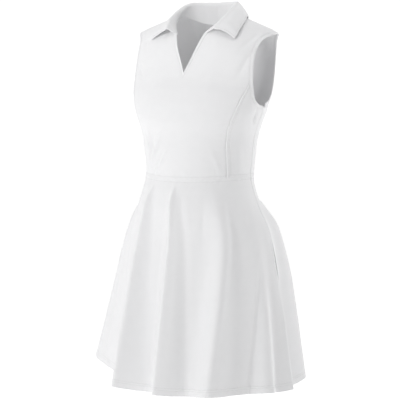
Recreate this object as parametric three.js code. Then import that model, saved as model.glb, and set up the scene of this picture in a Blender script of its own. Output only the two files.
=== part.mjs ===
// A sleeveless sports dress in stretch cloth, filled out as if worn: princess-seamed bodice
// with a turned-down collar and a V notch, waist seam, and a flared skirt with pockets in its
// side seams. Millimetres, +Z up, front towards -Y, the wearer's left towards +X. The origin
// is midway between the inner ends of the shoulder seams, where the wearer's shoulders carry it.
import * as THREE from "three";

// Driving dimensions.
const WALL = 1.8; // thickness of the cloth walls
const GAP = 0.5; // clearance between two pieces at a seam
const WAIST_Z = -377; // waist seam at the centre front, below the inner ends of the shoulders
const WAIST_LIFT = 5; // rise of the waist seam at the sides
const SKIRT_LENGTH = 484; // waist seam to hem, along the cloth
const NECK_HALF = 72; // inner end of the shoulder seam, from the middle
const SHOULDER_HALF = 187; // outer end of the shoulder seam, from the middle
const SHOULDER_SLOPE = 0.36; // fall of the shoulder seam per millimetre outwards
const NOTCH_BOTTOM = 0.638; // height of the foot of the V notch, as a share of the bodice
const NOTCH_TOP = 0.874; // height where the notch meets the collar
const JUNCTION = 0.63; // height where the princess seam meets the armhole
const UNDERARM = 0.455; // height of the foot of the armhole
const BAND_WIDTH = 8; // width of the turned band round the armhole
const BAND_WALL = 2.4; // thickness of the band, two layers
const COLLAR_WALL = 2; // thickness of the doubled collar
const COLLAR_ROLL = 3.5; // radius of the collar's fold
const POCKET_WALL = 1.2; // thickness of each layer of a pocket bag

const RAD = Math.PI / 180;
const SIDE = 90 * RAD; // the side seams' angle from the centre front

// The bodice's sections, from the waist seam (height 0) to the shoulder seam (height 1).
// front and back are measured from the side seam's plane, which lies at sideY. A round value
// under 1 makes that half fuller than an ellipse.
const BODICE = [
  { height: 0.0, halfWidth: 131, sideY: -29, front: 118, back: 81, frontRound: 0.95 },
  { height: 0.1, halfWidth: 133, sideY: -26, front: 121, back: 84, frontRound: 0.95 },
  { height: 0.24, halfWidth: 139, sideY: -27, front: 119, back: 91, frontRound: 0.9 },
  { height: 0.34, halfWidth: 149, sideY: -28, front: 121, back: 98, frontRound: 0.81 },
  { height: 0.43, halfWidth: 160, sideY: -26, front: 119, back: 102, frontRound: 0.71 },
  { height: 0.52, halfWidth: 168, sideY: -24, front: 105, back: 106, frontRound: 0.63 },
  { height: 0.62, halfWidth: 175, sideY: -20, front: 88, back: 107, frontRound: 0.6 },
  { height: 0.72, halfWidth: 179, sideY: -15, front: 82, back: 103, frontRound: 0.61 },
  { height: 0.82, halfWidth: 182, sideY: -9, front: 81, back: 94, frontRound: 0.7 },
  { height: 0.91, halfWidth: 188, sideY: -3, front: 87, back: 84, frontRound: 0.8 },
  { height: 1.0, halfWidth: 196, sideY: 0, front: 94, back: 76, frontRound: 0.8 },
];
const BACK_ROUND = 0.9;
const WRAP_START = 0.76; // height above which the cloth turns over the shoulder
const WRAP_FALL = 2.4; // how late it turns
const WRAP_ROUND = 0.8; // how round the turn is

// Half-widths of the seams and edges, seen from the front, by height.
const PRINCESS = [
  { height: 0.0, x: 109 },
  { height: 0.18, x: 109 },
  { height: 0.27, x: 113 },
  { height: 0.35, x: 122 },
  { height: 0.45, x: 136 },
  { height: 0.52, x: 144 },
  { height: 0.58, x: 151 },
  { height: JUNCTION, x: 155 },
];
const ARMHOLE_FRONT = [
  { height: JUNCTION, x: 155 },
  { height: 0.67, x: 154 },
  { height: 0.77, x: 152.5 },
  { height: 0.85, x: 153.5 },
  { height: 0.9, x: 157 },
  { height: 0.94, x: 163 },
  { height: 0.97, x: 171 },
  { height: 0.988, x: 176.5 },
  { height: 1.0, x: SHOULDER_HALF - BAND_WIDTH },
];
const ARMHOLE_BACK = [
  { height: UNDERARM, x: 165 },
  { height: 0.51, x: 162 },
  { height: 0.55, x: 158 },
  { height: 0.62, x: 154 },
  { height: 0.74, x: 153 },
  { height: 0.86, x: 157 },
  { height: 0.92, x: 162 },
  { height: 0.96, x: 170 },
  { height: 0.985, x: 176 },
  { height: 1.0, x: SHOULDER_HALF - BAND_WIDTH },
];
const NECK_FRONT = [
  { height: NOTCH_BOTTOM, x: 0 },
  { height: 0.72, x: 14 },
  { height: 0.8, x: 27 },
  { height: NOTCH_TOP, x: 38 },
  { height: 0.905, x: 48 },
  { height: 0.94, x: 59 },
  { height: 0.975, x: 68 },
  { height: 1.0, x: NECK_HALF },
];
const NECK_BACK = [
  { x: 0, height: 0.94 },
  { x: 30, height: 0.951 },
  { x: 52, height: 0.97 },
  { x: 65, height: 0.986 },
  { x: NECK_HALF, height: 1.0 },
];

// The skirt's sections, from the waist seam (down 0) to the hem (down 1), before its folds.
const SKIRT = [
  { down: 0.0, halfWidth: 131, sideY: -29, front: 118, back: 81 },
  { down: 0.06, halfWidth: 137, sideY: -29, front: 128, back: 85 },
  { down: 0.15, halfWidth: 152, sideY: -30, front: 134, back: 98 },
  { down: 0.28, halfWidth: 174, sideY: -31, front: 133, back: 126 },
  { down: 0.42, halfWidth: 184, sideY: -32, front: 140, back: 138 },
  { down: 0.6, halfWidth: 191, sideY: -34, front: 149, back: 147 },
  { down: 0.8, halfWidth: 198, sideY: -37, front: 159, back: 156 },
  { down: 1.0, halfWidth: 205, sideY: -40, front: 168, back: 166 },
];
const SKIRT_ROUND = 0.95;

// The skirt's folds, one row each. Angles run from the centre front, positive to the wearer's
// left, at the waist and at the hem; low and high are the widths of the fold's two flanks in
// degrees, on the side of lesser and of greater angles; rise is how far it stands out at the
// hem, start is how far down it begins, and a growth under 1 deepens it sooner.
const FLUTES = [
  { waist: -89, hem: -88, low: 17, high: 13, rise: 86, start: -0.01, growth: 1.1 },
  { waist: -33, hem: -23, low: 7, high: 9, rise: 60, start: 0.0, growth: 0.95 },
  { waist: 2, hem: 4, low: 6, high: 12, rise: 46, start: 0.0, growth: 0.95 },
  { waist: 46, hem: 34, low: 9, high: 12, rise: 52, start: 0.04, growth: 0.95 },
  { waist: 76, hem: 76, low: 9, high: 8, rise: 24, start: 0.25, growth: 0.95 },
  { waist: 93, hem: 94, low: 8, high: 6, rise: 33, start: 0.15, growth: 0.95 },
  { waist: 120, hem: 119, low: 14, high: 14, rise: 52, start: 0.12, growth: 0.58 },
  { waist: 148, hem: 150, low: 11, high: 12, rise: 40, start: 0.1, growth: 0.95 },
  { waist: 178, hem: 180, low: 12, high: 12, rise: 44, start: 0.18, growth: 0.95 },
  { waist: 208, hem: 210, low: 12, high: 12, rise: 44, start: 0.13, growth: 0.95 },
  { waist: 240, hem: 241, low: 12, high: 13, rise: 46, start: 0.02, growth: 0.95 },
];
// The side seams' angles, waist to hem.
const SEAM_LEFT = [
  { down: 0, angle: 90 },
  { down: 0.15, angle: 93 },
  { down: 1, angle: 95 },
];
const SEAM_RIGHT = [
  { down: 0, angle: -90 },
  { down: 0.15, angle: -86 },
  { down: 1, angle: -82 },
];

// A smooth function through a table, without overshoot: the column named value, by position.
function through(rows, position, value) {
  const at = rows.map((row) => row[position]);
  const is = rows.map((row) => row[value]);
  const last = rows.length - 1;
  const slope = at.slice(1).map((x, i) => (is[i + 1] - is[i]) / (x - at[i]));
  const tangent = at.map((_, i) => {
    if (i === 0) return slope[0];
    if (i === last) return slope[last - 1];
    const [a, b] = [slope[i - 1], slope[i]];
    return a * b <= 0 ? 0 : (2 * a * b) / (a + b);
  });
  return (x) => {
    const clamped = Math.min(Math.max(x, at[0]), at[last]);
    let i = 0;
    while (i < last - 1 && clamped > at[i + 1]) i += 1;
    const span = at[i + 1] - at[i];
    const t = (clamped - at[i]) / span;
    const [t2, t3] = [t * t, t * t * t];
    return (
      is[i] * (2 * t3 - 3 * t2 + 1) +
      tangent[i] * span * (t3 - 2 * t2 + t) +
      is[i + 1] * (3 * t2 - 2 * t3) +
      tangent[i + 1] * span * (t3 - t2)
    );
  };
}

const mix = (a, b, t) => a + (b - a) * t;
const clamp = (t, low, high) => Math.min(Math.max(t, low), high);
const clamp01 = (t) => clamp(t, 0, 1);
const ease = (t) => clamp01(t) ** 2 * (3 - 2 * clamp01(t));
const bell = (t) => Math.exp(-t * t);
// Numbers from first to last in equal steps.
const steps = (first, last, count) =>
  Array.from({ length: count + 1 }, (_, i) => mix(first, last, i / count));
const vector = (x, y, z) => new THREE.Vector3(x, y, z);

// Soft folds in the bodice: creases drawn in at the waist and drag lines from the armholes.
// angle runs from the centre front, positive to the wearer's left; lean is the angle it
// gains per unit of height.
const CREASES = [
  { angle: -62, height: 0.16, lean: 60, length: 0.13, width: 4, rise: 3.2 },
  { angle: -50, height: 0.12, lean: 62, length: 0.1, width: 4, rise: 2.2 },
  { angle: -78, height: 0.2, lean: 45, length: 0.12, width: 4, rise: 2.2 },
  { angle: 70, height: 0.14, lean: -40, length: 0.1, width: 5, rise: 1.6 },
  { angle: 50, height: 0.68, lean: 110, length: 0.07, width: 4, rise: -2.2 },
  { angle: -50, height: 0.68, lean: -110, length: 0.07, width: 4, rise: -2.0 },
  { angle: 128, height: 0.14, lean: 55, length: 0.11, width: 5, rise: 2.4 },
  { angle: -132, height: 0.16, lean: -50, length: 0.12, width: 5, rise: 2.2 },
  { angle: 150, height: 0.1, lean: 40, length: 0.09, width: 5, rise: 1.8 },
  { angle: -112, height: 0.12, lean: -35, length: 0.1, width: 4, rise: 2.0 },
];
// Degrees from one angle to another, the short way round.
const turnTo = (from, to) => ((((to - from + 180) % 360) + 360) % 360) - 180;
function crease(angle, height) {
  return CREASES.reduce((sum, fold) => {
    const up = height - fold.height;
    const across = turnTo(fold.angle + fold.lean * up, angle / RAD);
    return sum + fold.rise * bell(across / fold.width) * bell(up / fold.length);
  }, 0) * ease(height / 0.05);
}

const table = (rows, position, keys) =>
  Object.fromEntries(keys.map((key) => [key, through(rows, position, key)]));
const bodice = table(BODICE, "height", [
  "halfWidth", "sideY", "front", "back", "frontRound",
]);
const skirt = table(SKIRT, "down", ["halfWidth", "sideY", "front", "back"]);
const shoulderZ = (x) => -Math.max(Math.abs(x) - NECK_HALF, 0) * SHOULDER_SLOPE;
function wrap(height) {
  const share = clamp01((height - WRAP_START) / (1 - WRAP_START));
  return (1 - share ** WRAP_FALL) ** WRAP_ROUND;
}
const waistZ = (angle) => WAIST_Z + WAIST_LIFT * Math.sin(angle) ** 2;

// The bodice's outer face. half is -1 for the front panels and 1 for the back's, which keeps
// the two a seam gap apart.
function bodicePoint(angle, height, half) {
  const x = bodice.halfWidth(height) * Math.sin(angle);
  const forward = Math.cos(angle);
  const reach =
    half < 0
      ? -bodice.front(height) * Math.abs(forward) ** bodice.frontRound(height)
      : bodice.back(height) * Math.abs(forward) ** BACK_ROUND;
  const fold = crease(angle, height);
  return vector(
    x + fold * Math.sin(angle),
    bodice.sideY(height) + reach * wrap(height) + (half * GAP) / 2 - fold * forward,
    mix(waistZ(angle) + GAP / 2, shoulderZ(x), height),
  );
}
const angleAt = (x, height) => Math.asin(clamp01(x / bodice.halfWidth(height)));

// The skirt's outer face: the section moved out by the folds, each point as far from the
// waist seam along the cloth as its share of the length.
function flute(angle, down) {
  return FLUTES.reduce((sum, fold) => {
    const across = turnTo(mix(fold.waist, fold.hem, down), angle / RAD);
    const width = across < 0 ? fold.low : fold.high;
    const grown = clamp01((down - fold.start) / (1 - fold.start)) ** fold.growth;
    return sum + fold.rise * grown * bell(across / width);
  }, 0) * ease(down / 0.1);
}
function skirtSection(angle, down) {
  const forward = Math.cos(angle);
  const reach = Math.abs(forward) ** SKIRT_ROUND;
  return vector(
    skirt.halfWidth(down) * Math.sin(angle),
    skirt.sideY(down) + (forward > 0 ? -skirt.front(down) : skirt.back(down)) * reach,
    0,
  );
}
function skirtPoint(angle, down) {
  const waist = skirtSection(angle, 0);
  const point = skirtSection(angle, down);
  const fold = flute(angle, down);
  point.x += fold * Math.sin(angle);
  point.y -= fold * Math.cos(angle);
  const out = Math.hypot(point.x - waist.x, point.y - waist.y);
  const along = SKIRT_LENGTH * down;
  point.z = waistZ(angle) - GAP / 2 - Math.sqrt(Math.max(along ** 2 - out ** 2, 0));
  return point;
}

// A closed wall from a patch of quads: points are its outer face, and the inner face lies one
// thickness in against the normals. The open edges are found and closed with a rim.
function wall(points, normals, quads, thickness) {
  const count = points.length;
  const position = [];
  points.forEach((p) => position.push(p.x, p.y, p.z));
  points.forEach((p, i) => {
    const inner = p.clone().addScaledVector(normals[i], -thickness);
    position.push(inner.x, inner.y, inner.z);
  });
  const triangles = [];
  const rim = new Map();
  const face = (a, b, c) => {
    if (a === b || b === c || c === a) return;
    triangles.push([a, b, c], [a + count, c + count, b + count]);
    [[a, b], [b, c], [c, a]].forEach(([from, to]) => {
      if (!rim.delete(to + "_" + from)) rim.set(from + "_" + to, [from, to]);
    });
  };
  quads.forEach(([a, b, c, d]) => {
    face(a, b, c);
    face(a, c, d);
  });
  for (const [from, to] of rim.values()) {
    triangles.push([to, from, from + count], [to, from + count, to + count]);
  }
  const geometry = new THREE.BufferGeometry();
  geometry.setAttribute("position", new THREE.Float32BufferAttribute(position, 3));
  geometry.setIndex(triangles.flat());
  geometry.computeVertexNormals();
  return geometry;
}

// A closed wall from a function of two shares, across and up, which gives the outer face's
// points. across runs to the right of someone looking at the outer face, unless turned. The
// shoulder and side seams lie in planes facing front and back, so the rims there are kept
// square to the seam: flat says which shares lie on such a seam.
const STEP = 1e-3;
function normalAt(at, across, up) {
  const [a, b] = [Math.max(across - STEP, 0), Math.min(across + STEP, 1)];
  const [c, d] = [Math.max(up - STEP, 0), Math.min(up + STEP, 1)];
  return at(b, up).sub(at(a, up)).cross(at(across, d).sub(at(across, c))).normalize();
}
const never = () => false;
function grid(at, acrosses, ups, turned, flat = never) {
  const points = [];
  const normals = [];
  const quads = [];
  ups.forEach((up, row) =>
    acrosses.forEach((across, column) => {
      points.push(at(across, up));
      const normal = normalAt(at, across, up);
      if (flat(across, up)) normal.setY(0).normalize();
      normals.push(turned ? normal.negate() : normal);
      if (row === 0 || column === 0) return;
      const corner = points.length - 1;
      const below = corner - acrosses.length;
      const quad = [below - 1, below, corner, corner - 1];
      quads.push(turned ? quad.reverse() : quad);
    }),
  );
  return { points, normals, quads };
}
function sheet(at, acrosses, ups, thickness, turned = false, flat = never) {
  const { points, normals, quads } = grid(at, acrosses, ups, turned, flat);
  return wall(points, normals, quads, thickness);
}

const CLOTH_COLOUR = 0xf3f3f4;
const dress = new THREE.Group();
function add(name, geometry) {
  const cloth = new THREE.MeshStandardMaterial({ color: CLOTH_COLOUR, roughness: 0.75 });
  const mesh = new THREE.Mesh(geometry, cloth);
  mesh.name = name;
  dress.add(mesh);
}

const princessX = through(PRINCESS, "height", "x");
const armholeFrontX = through(ARMHOLE_FRONT, "height", "x");
const armholeBackX = through(ARMHOLE_BACK, "height", "x");
const neckFrontX = through(NECK_FRONT, "height", "x");
const neckBackHeight = through(NECK_BACK, "x", "height");
const seamLeft = through(SEAM_LEFT, "down", "angle");
const seamRight = through(SEAM_RIGHT, "down", "angle");

const outlineX = (height) =>
  height < JUNCTION ? princessX(height) : armholeFrontX(height);

// Centre front: two halves that share the centre line up to the foot of the notch.
const SEAM_ROWS = 10; // rows below the armholes, the same in each panel
const frontRows = [
  ...steps(0, JUNCTION, SEAM_ROWS),
  ...steps(NOTCH_BOTTOM, NOTCH_TOP, 6),
  ...steps(NOTCH_TOP, 1, 7).slice(1),
];
function frontCentre() {
  const COLUMNS = 9;
  const heights = frontRows;
  const halfPanel = (side) => (across, height) => {
    const inner = height <= NOTCH_BOTTOM ? 0 : neckFrontX(height);
    const from = angleAt(inner, height);
    const to = angleAt(outlineX(height) - GAP / 2, height);
    return bodicePoint(side * mix(from, to, across), height, -1);
  };
  const columns = steps(0, 1, COLUMNS);
  const onShoulder = (across, height) => height === 1;
  const left = grid(halfPanel(1), columns, heights, false, onShoulder);
  const right = grid(halfPanel(-1), columns, heights, true, onShoulder);
  const width = COLUMNS + 1;
  const shared = heights.filter((height) => height <= NOTCH_BOTTOM).length;
  const isShared = (i) => i % width === 0 && i < shared * width;
  const points = [...left.points];
  const normals = [...left.normals];
  const moved = right.points.map((point, i) => {
    if (isShared(i)) return i;
    points.push(point);
    normals.push(right.normals[i]);
    return points.length - 1;
  });
  for (let i = 0; i < shared * width; i += width) {
    normals[i].add(right.normals[i]).normalize();
  }
  const quads = [...left.quads, ...right.quads.map((quad) => quad.map((i) => moved[i]))];
  return wall(points, normals, quads, WALL);
}
add("front_centre", frontCentre());

// Side front: from the princess seam to the side seam, up to the armhole.
const armholeFoot = (share) => mix(UNDERARM, JUNCTION, (1 - share) ** 1.6);
const sideFront = (side) => (across, up) => {
  const height = up * armholeFoot(across);
  const from = angleAt(princessX(height) + GAP / 2, height);
  return bodicePoint(side * mix(from, SIDE, across), height, -1);
};
const SIDE_COLUMNS = steps(0, 1, 7);
const SIDE_ROWS = steps(0, 1, SEAM_ROWS);
const onSide = (across) => across === 1;
const sideLeft = sheet(sideFront(1), SIDE_COLUMNS, SIDE_ROWS, WALL, false, onSide);
const sideRight = sheet(sideFront(-1), SIDE_COLUMNS, SIDE_ROWS, WALL, true, onSide);
add("front_side_left", sideLeft);
add("front_side_right", sideRight);

// Back: across from the wearer's left to the right, up to the neckline and the shoulders.
const backOuter = (height) =>
  height < UNDERARM ? SIDE : angleAt(armholeBackX(height), height);
const NECK_SHARE = angleAt(NECK_HALF, 1) / backOuter(1);
const ARM_TURN = 0.55; // height below which the back armhole turns under the arm
const NECK_FOOT = 0.88; // height below which the back's rows run level
function backPoint(across, up) {
  const side = 1 - 2 * across;
  const share = Math.abs(side);
  const atTop = bodice.halfWidth(1) * Math.sin(share * backOuter(1));
  const top = share < NECK_SHARE ? neckBackHeight(atTop) : 1;
  const squeezed = mix(NECK_FOOT, top, (up - NECK_FOOT) / (1 - NECK_FOOT));
  const height = up < NECK_FOOT ? up : squeezed;
  const angle = 180 * RAD - share * backOuter(height);
  return bodicePoint(Math.sign(side) * angle, height, 1);
}
const backHalf = [...steps(0, NECK_SHARE, 4), ...steps(NECK_SHARE, 1, 7).slice(1)];
const backColumns = [
  ...backHalf.map((share) => (1 - share) / 2).reverse(),
  ...backHalf.slice(1).map((share) => (1 + share) / 2),
];
const backRows = [
  ...steps(0, UNDERARM, SEAM_ROWS),
  ...steps(UNDERARM, ARM_TURN, 4).slice(1),
  ...steps(ARM_TURN, NECK_FOOT, 5).slice(1),
  ...steps(NECK_FOOT, 1, 6).slice(1),
];
const onBackSeam = (across, up) =>
  up === 1 || (up <= UNDERARM && (across === 0 || across === 1));
add("back_bodice", sheet(backPoint, backColumns, backRows, WALL, false, onBackSeam));

// Armhole bands: a doubled strip that carries each armhole's edge on past the panels, with
// a place for each of their edge points: down the front, under the arm and up the back.
const armholePlaces = [
  ...frontRows.filter((height) => height > JUNCTION).reverse()
    .map((height) => ({ angle: angleAt(armholeFrontX(height), height), height, half: -1 })),
  ...SIDE_COLUMNS.map((across) => {
    const height = armholeFoot(across);
    const angle = mix(angleAt(princessX(height), height), SIDE, across);
    return { angle, height, half: -1 };
  }),
  ...backRows.filter((height) => height > UNDERARM)
    .map((height) => ({ angle: 180 * RAD - backOuter(height), height, half: 1 })),
];
const BAND_CLEAR = 0.75; // space between the band and the panels
function band(side) {
  const COUNT = armholePlaces.length;
  const ACROSS = [0, 0.5, 1];
  const edge = armholePlaces.map((place) => {
    const { height, half } = place;
    const angle = side * place.angle;
    const point = bodicePoint(angle, height, half);
    const [low, high] = [Math.max(height - STEP, 0), Math.min(height + STEP, 1)];
    const along = bodicePoint(angle + STEP, height, half)
      .sub(bodicePoint(angle - STEP, height, half));
    const up = bodicePoint(angle, high, half).sub(bodicePoint(angle, low, half));
    return { point, normal: along.cross(up).normalize() };
  });
  const around = (i) => edge[(i + COUNT) % COUNT];
  const points = [];
  const normals = [];
  const quads = [];
  edge.forEach(({ point }, i) => {
    const normal = vector(0, 0, 0);
    [-2, -1, 0, 1, 2].forEach((j) => normal.add(around(i + j).normal));
    normal.normalize();
    const tangent = around(i + 1).point.clone().sub(around(i - 1).point).normalize();
    const outwards = tangent.cross(normal).normalize().multiplyScalar(-side);
    ACROSS.forEach((share, column) => {
      const reach = mix(BAND_CLEAR, BAND_WIDTH, share);
      points.push(
        point.clone().addScaledVector(outwards, reach).addScaledVector(normal, 0.3),
      );
      normals.push(normal);
      if (column === 0) return;
      const corner = i * ACROSS.length + column;
      const next = ((i + 1) % COUNT) * ACROSS.length + column;
      const quad = [corner - 1, corner, next, next - 1];
      quads.push(side < 0 ? quad : quad.reverse());
    });
  });
  return wall(points, normals, quads, BAND_WALL);
}
add("armhole_band_left", band(1));
add("armhole_band_right", band(-1));

// The collar, one row for each place from the centre back round to the notch: the fold's
// line and the leaf's edge. bulge is how far the leaf bows away from the dress.
const COLLAR = [
  { share: 0.0, foldX: 0, foldY: 50, foldZ: 25, edgeX: 0, edgeY: 66, edgeZ: -32, bulge: 4 },
  { share: 0.2, foldX: 35, foldY: 46, foldZ: 26.5, edgeX: 45, edgeY: 61, edgeZ: -30, bulge: 4 },
  { share: 0.38, foldX: 60, foldY: 32, foldZ: 26, edgeX: 80, edgeY: 40, edgeZ: -22, bulge: 4 },
  { share: 0.52, foldX: 70, foldY: 12, foldZ: 20, edgeX: 102, edgeY: 8, edgeZ: -5, bulge: 3 },
  { share: 0.68, foldX: 72, foldY: -16, foldZ: 7, edgeX: 115, edgeY: -30, edgeZ: -21, bulge: 4 },
  { share: 0.84, foldX: 73, foldY: -45, foldZ: -12, edgeX: 119, edgeY: -61, edgeZ: -45, bulge: 5 },
  { share: 0.92, foldX: 62, foldY: -62, foldZ: -25, edgeX: 118, edgeY: -67, edgeZ: -53, bulge: 6 },
  { share: 1.0, foldX: 45, foldY: -79, foldZ: -41, edgeX: 114, edgeY: -72, edgeZ: -62, bulge: 7 },
];
const RIGHT_LEAF_IN = 11; // how much closer to the neck the wearer's right leaf lies
const RIGHT_LEAF_BOW = 0.55; // share of its bow away from the dress that it keeps
const COLLAR_KEYS = ["foldX", "foldY", "foldZ", "edgeX", "edgeY", "edgeZ", "bulge"];
const collarAt = table(COLLAR, "share", COLLAR_KEYS);
const NECK_TURN = 0.45; // share of the collar from the centre back to the shoulder seam
function neckline(share) {
  if (share < NECK_TURN) {
    const x = NECK_HALF * (share / NECK_TURN);
    const height = neckBackHeight(x);
    return [180 * RAD - angleAt(x, height), height, 1];
  }
  const height = mix(1, NOTCH_TOP, (share - NECK_TURN) / (1 - NECK_TURN));
  return [angleAt(neckFrontX(height), height), height, -1];
}
function collarPoint(side, share, up) {
  const seam = bodicePoint(...neckline(share));
  const v = Object.fromEntries(COLLAR_KEYS.map((key) => [key, collarAt[key](share)]));
  const fold = vector(v.foldX, v.foldY, v.foldZ);
  const edge = vector(v.edgeX, v.edgeY, v.edgeZ);
  if (side < 0) {
    edge.x -= RIGHT_LEAF_IN * Math.sin(Math.PI * share);
    v.bulge *= RIGHT_LEAF_BOW;
  }
  const out = vector(edge.x - seam.x * 0.6, edge.y - seam.y * 0.6, 0).normalize();
  const foot = seam.clone().addScaledVector(out, -COLLAR_WALL - GAP);
  foot.z += 2 * GAP;
  const roll = COLLAR_ROLL * mix(1, 0.7, share);
  const inner = fold.clone().addScaledVector(out, -roll);
  inner.z -= roll * 0.8;
  const outer = fold.clone().addScaledVector(out, roll);
  outer.z -= roll * 0.8;
  const leaf = (t) => {
    const point = outer.clone().lerp(edge, t);
    point.addScaledVector(out, v.bulge * Math.sin(Math.PI * t) ** 0.8 * 0.6);
    point.z += v.bulge * Math.sin(Math.PI * t) ** 0.8 * 0.8;
    return point;
  };
  const keys = [foot, foot.clone().lerp(inner, 0.5), inner, fold, outer,
    leaf(0.3), leaf(0.6), leaf(0.85), edge];
  const curve = new THREE.CatmullRomCurve3(keys, false, "centripetal");
  const point = curve.getPoint(clamp01(up));
  point.x *= side;
  return point;
}
const collarSheet = (across, up) => {
  const side = 1 - 2 * across;
  const share = Math.abs(side);
  return collarPoint(side < 0 ? -1 : 1, share, up);
};
const COLLAR_ROWS = [0, 1, 2, 3, 4, 5, 6, 7, 8].map((row) => row / 8);
add("collar", sheet(collarSheet, steps(0, 1, 24), COLLAR_ROWS, COLLAR_WALL));

// Skirt panels, between the side seams. The pocket mouths part the seams a little.
const MOUTH_TOP = 0.27; // upper end of a pocket mouth, as a share of the skirt's length
const MOUTH_BOTTOM = 0.48;
const MOUTH_PART = 3; // how far each edge of a mouth stands back from the seam
function seamClear(down) {
  const share = (down - MOUTH_TOP) / (MOUTH_BOTTOM - MOUTH_TOP);
  const part = share > 0 && share < 1 ? Math.sin(Math.PI * share) * MOUTH_PART : 0;
  return (GAP / 2 + part) / (skirt.halfWidth(down) * RAD);
}
const skirtPanel = (from, to) => (across, up) => {
  const down = 1 - up;
  const [start, end] = [from(down) + seamClear(down), to(down) - seamClear(down)];
  return skirtPoint(mix(start, end, across) * RAD, down);
};
const seamRightBehind = (down) => seamRight(down) + 360;
const skirtRows = steps(0, 1, 18);
add("skirt_front", sheet(skirtPanel(seamRight, seamLeft), steps(0, 1, 56), skirtRows, WALL));
add("skirt_back", sheet(skirtPanel(seamLeft, seamRightBehind), steps(0, 1, 48), skirtRows, WALL));

// Pocket bags: a flat pouch behind each side seam, open at the mouth and hanging forward
// inside the front panel. Its loop runs down the layer next to the panel and back up the
// other, with a rounded turn at the foot and the head.
const POCKET_DEPTH = 140; // mouth to far end
const POCKET_DROP = 0.16; // how far the bag hangs below its mouth
const POCKET_GAP = 0.8; // space between the two layers
const POCKET_CLEAR = 1; // space between the bag and the panel
const LAYER_POINTS = 8;
function skirtNormal(angle, down) {
  const across = skirtPoint(angle + STEP, down).sub(skirtPoint(angle - STEP, down));
  const up = skirtPoint(angle, down - STEP).sub(skirtPoint(angle, down + STEP));
  return across.cross(up).normalize();
}
function pocket(side, seam) {
  const thick = POCKET_WALL + POCKET_GAP / 2; // from the bag's middle to its face
  const layer = steps(0, 1, LAYER_POINTS - 1);
  const loop = [
    { along: 0, face: 0, turn: -1 },
    ...layer.map((along) => ({ along, face: 1, turn: 0 })),
    { along: 1, face: 0, turn: 1 },
    ...layer.map((along) => ({ along: 1 - along, face: -1, turn: 0 })),
  ];
  const inwards = steps(0, 1, 8);
  const points = [];
  const normals = [];
  const quads = [];
  inwards.forEach((inward, row) => {
    const head = MOUTH_TOP + 0.012 + 0.03 * inward ** 2;
    const foot = MOUTH_BOTTOM - 0.012 + POCKET_DROP * ease(inward * 1.6) - 0.06 * inward ** 4;
    loop.forEach(({ along, face, turn }, place) => {
      const down = mix(head, foot, along);
      const reach = skirt.halfWidth(down) * RAD;
      const lip = face > 0 ? -seamClear(down) : (face < 0 ? 2 : 0) / reach + seamClear(down);
      const degrees = seam(down) + side * (lip * (1 - inward) - (POCKET_DEPTH / reach) * inward);
      const angle = degrees * RAD;
      const outer = skirtNormal(angle, down);
      const downwards = skirtPoint(angle, down + STEP).sub(skirtPoint(angle, down)).normalize();
      const middle = skirtPoint(angle, down)
        .addScaledVector(outer, -(WALL + POCKET_CLEAR + thick));
      points.push(
        middle.addScaledVector(outer, face * thick).addScaledVector(downwards, turn * thick),
      );
      const ending = face !== 0 && (along === 0 || along === 1);
      const normal = outer.clone().multiplyScalar(face)
        .addScaledVector(downwards, ending ? along * 2 - 1 : turn);
      if (row === inwards.length - 1) {
        const forward = skirtPoint(angle - side * STEP, down).sub(skirtPoint(angle, down));
        normal.add(forward.normalize());
      }
      normals.push(normal.normalize());
      if (row === 0) return;
      const count = loop.length;
      const next = (place + 1) % count;
      const [here, before] = [row * count, (row - 1) * count];
      const quad = [before + place, before + next, here + next, here + place];
      quads.push(side < 0 ? quad : quad.reverse());
    });
  });
  const last = (inwards.length - 1) * loop.length;
  for (let i = 0; i <= LAYER_POINTS; i += 1) {
    const far = (place) => last + (place % loop.length);
    const facing = (place) => far(loop.length - place);
    const quad = [far(i), far(i + 1), facing(i + 1), facing(i)];
    quads.push(side < 0 ? quad : quad.reverse());
  }
  return wall(points, normals, quads, POCKET_WALL);
}
add("pocket_left", pocket(1, seamLeft));
add("pocket_right", pocket(-1, seamRight));

export default dress;
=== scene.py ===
# %% [markdown]
# A sleeveless sports dress in white stretch cloth, filled out as if it were worn. The solid
# model gives its size and place. This lesson makes the cloth you see: thin sewn panels on the
# same form, with softer folds, seams, stitches and a knitted finish.

# %% Load the solid model
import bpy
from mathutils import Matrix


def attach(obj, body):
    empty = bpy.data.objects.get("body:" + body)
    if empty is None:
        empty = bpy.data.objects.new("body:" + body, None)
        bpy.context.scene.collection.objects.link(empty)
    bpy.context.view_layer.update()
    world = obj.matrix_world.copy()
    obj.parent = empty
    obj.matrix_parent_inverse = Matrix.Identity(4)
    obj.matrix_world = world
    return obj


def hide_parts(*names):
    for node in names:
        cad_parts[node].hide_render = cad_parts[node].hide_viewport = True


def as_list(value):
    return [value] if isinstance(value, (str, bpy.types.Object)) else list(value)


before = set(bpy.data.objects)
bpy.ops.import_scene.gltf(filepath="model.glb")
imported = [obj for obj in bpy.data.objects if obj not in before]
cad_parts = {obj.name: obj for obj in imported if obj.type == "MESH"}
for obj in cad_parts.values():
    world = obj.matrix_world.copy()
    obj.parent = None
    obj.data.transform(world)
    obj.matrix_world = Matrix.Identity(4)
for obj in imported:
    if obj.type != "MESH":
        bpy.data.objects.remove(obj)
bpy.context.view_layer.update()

import math
import bpy
import numpy as np
from mathutils import Vector
from mathutils.kdtree import KDTree

MM = 0.001
print("nodes:", ", ".join(sorted(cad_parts)))

# %% [markdown]
# A garment's shape is easiest to give as a few level sections, with smooth curves between
# them. A cubic that never overshoots keeps the cloth from bulging between two sections. A
# spline tool would work as well, but a small function stays exact and easy to read.

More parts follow.
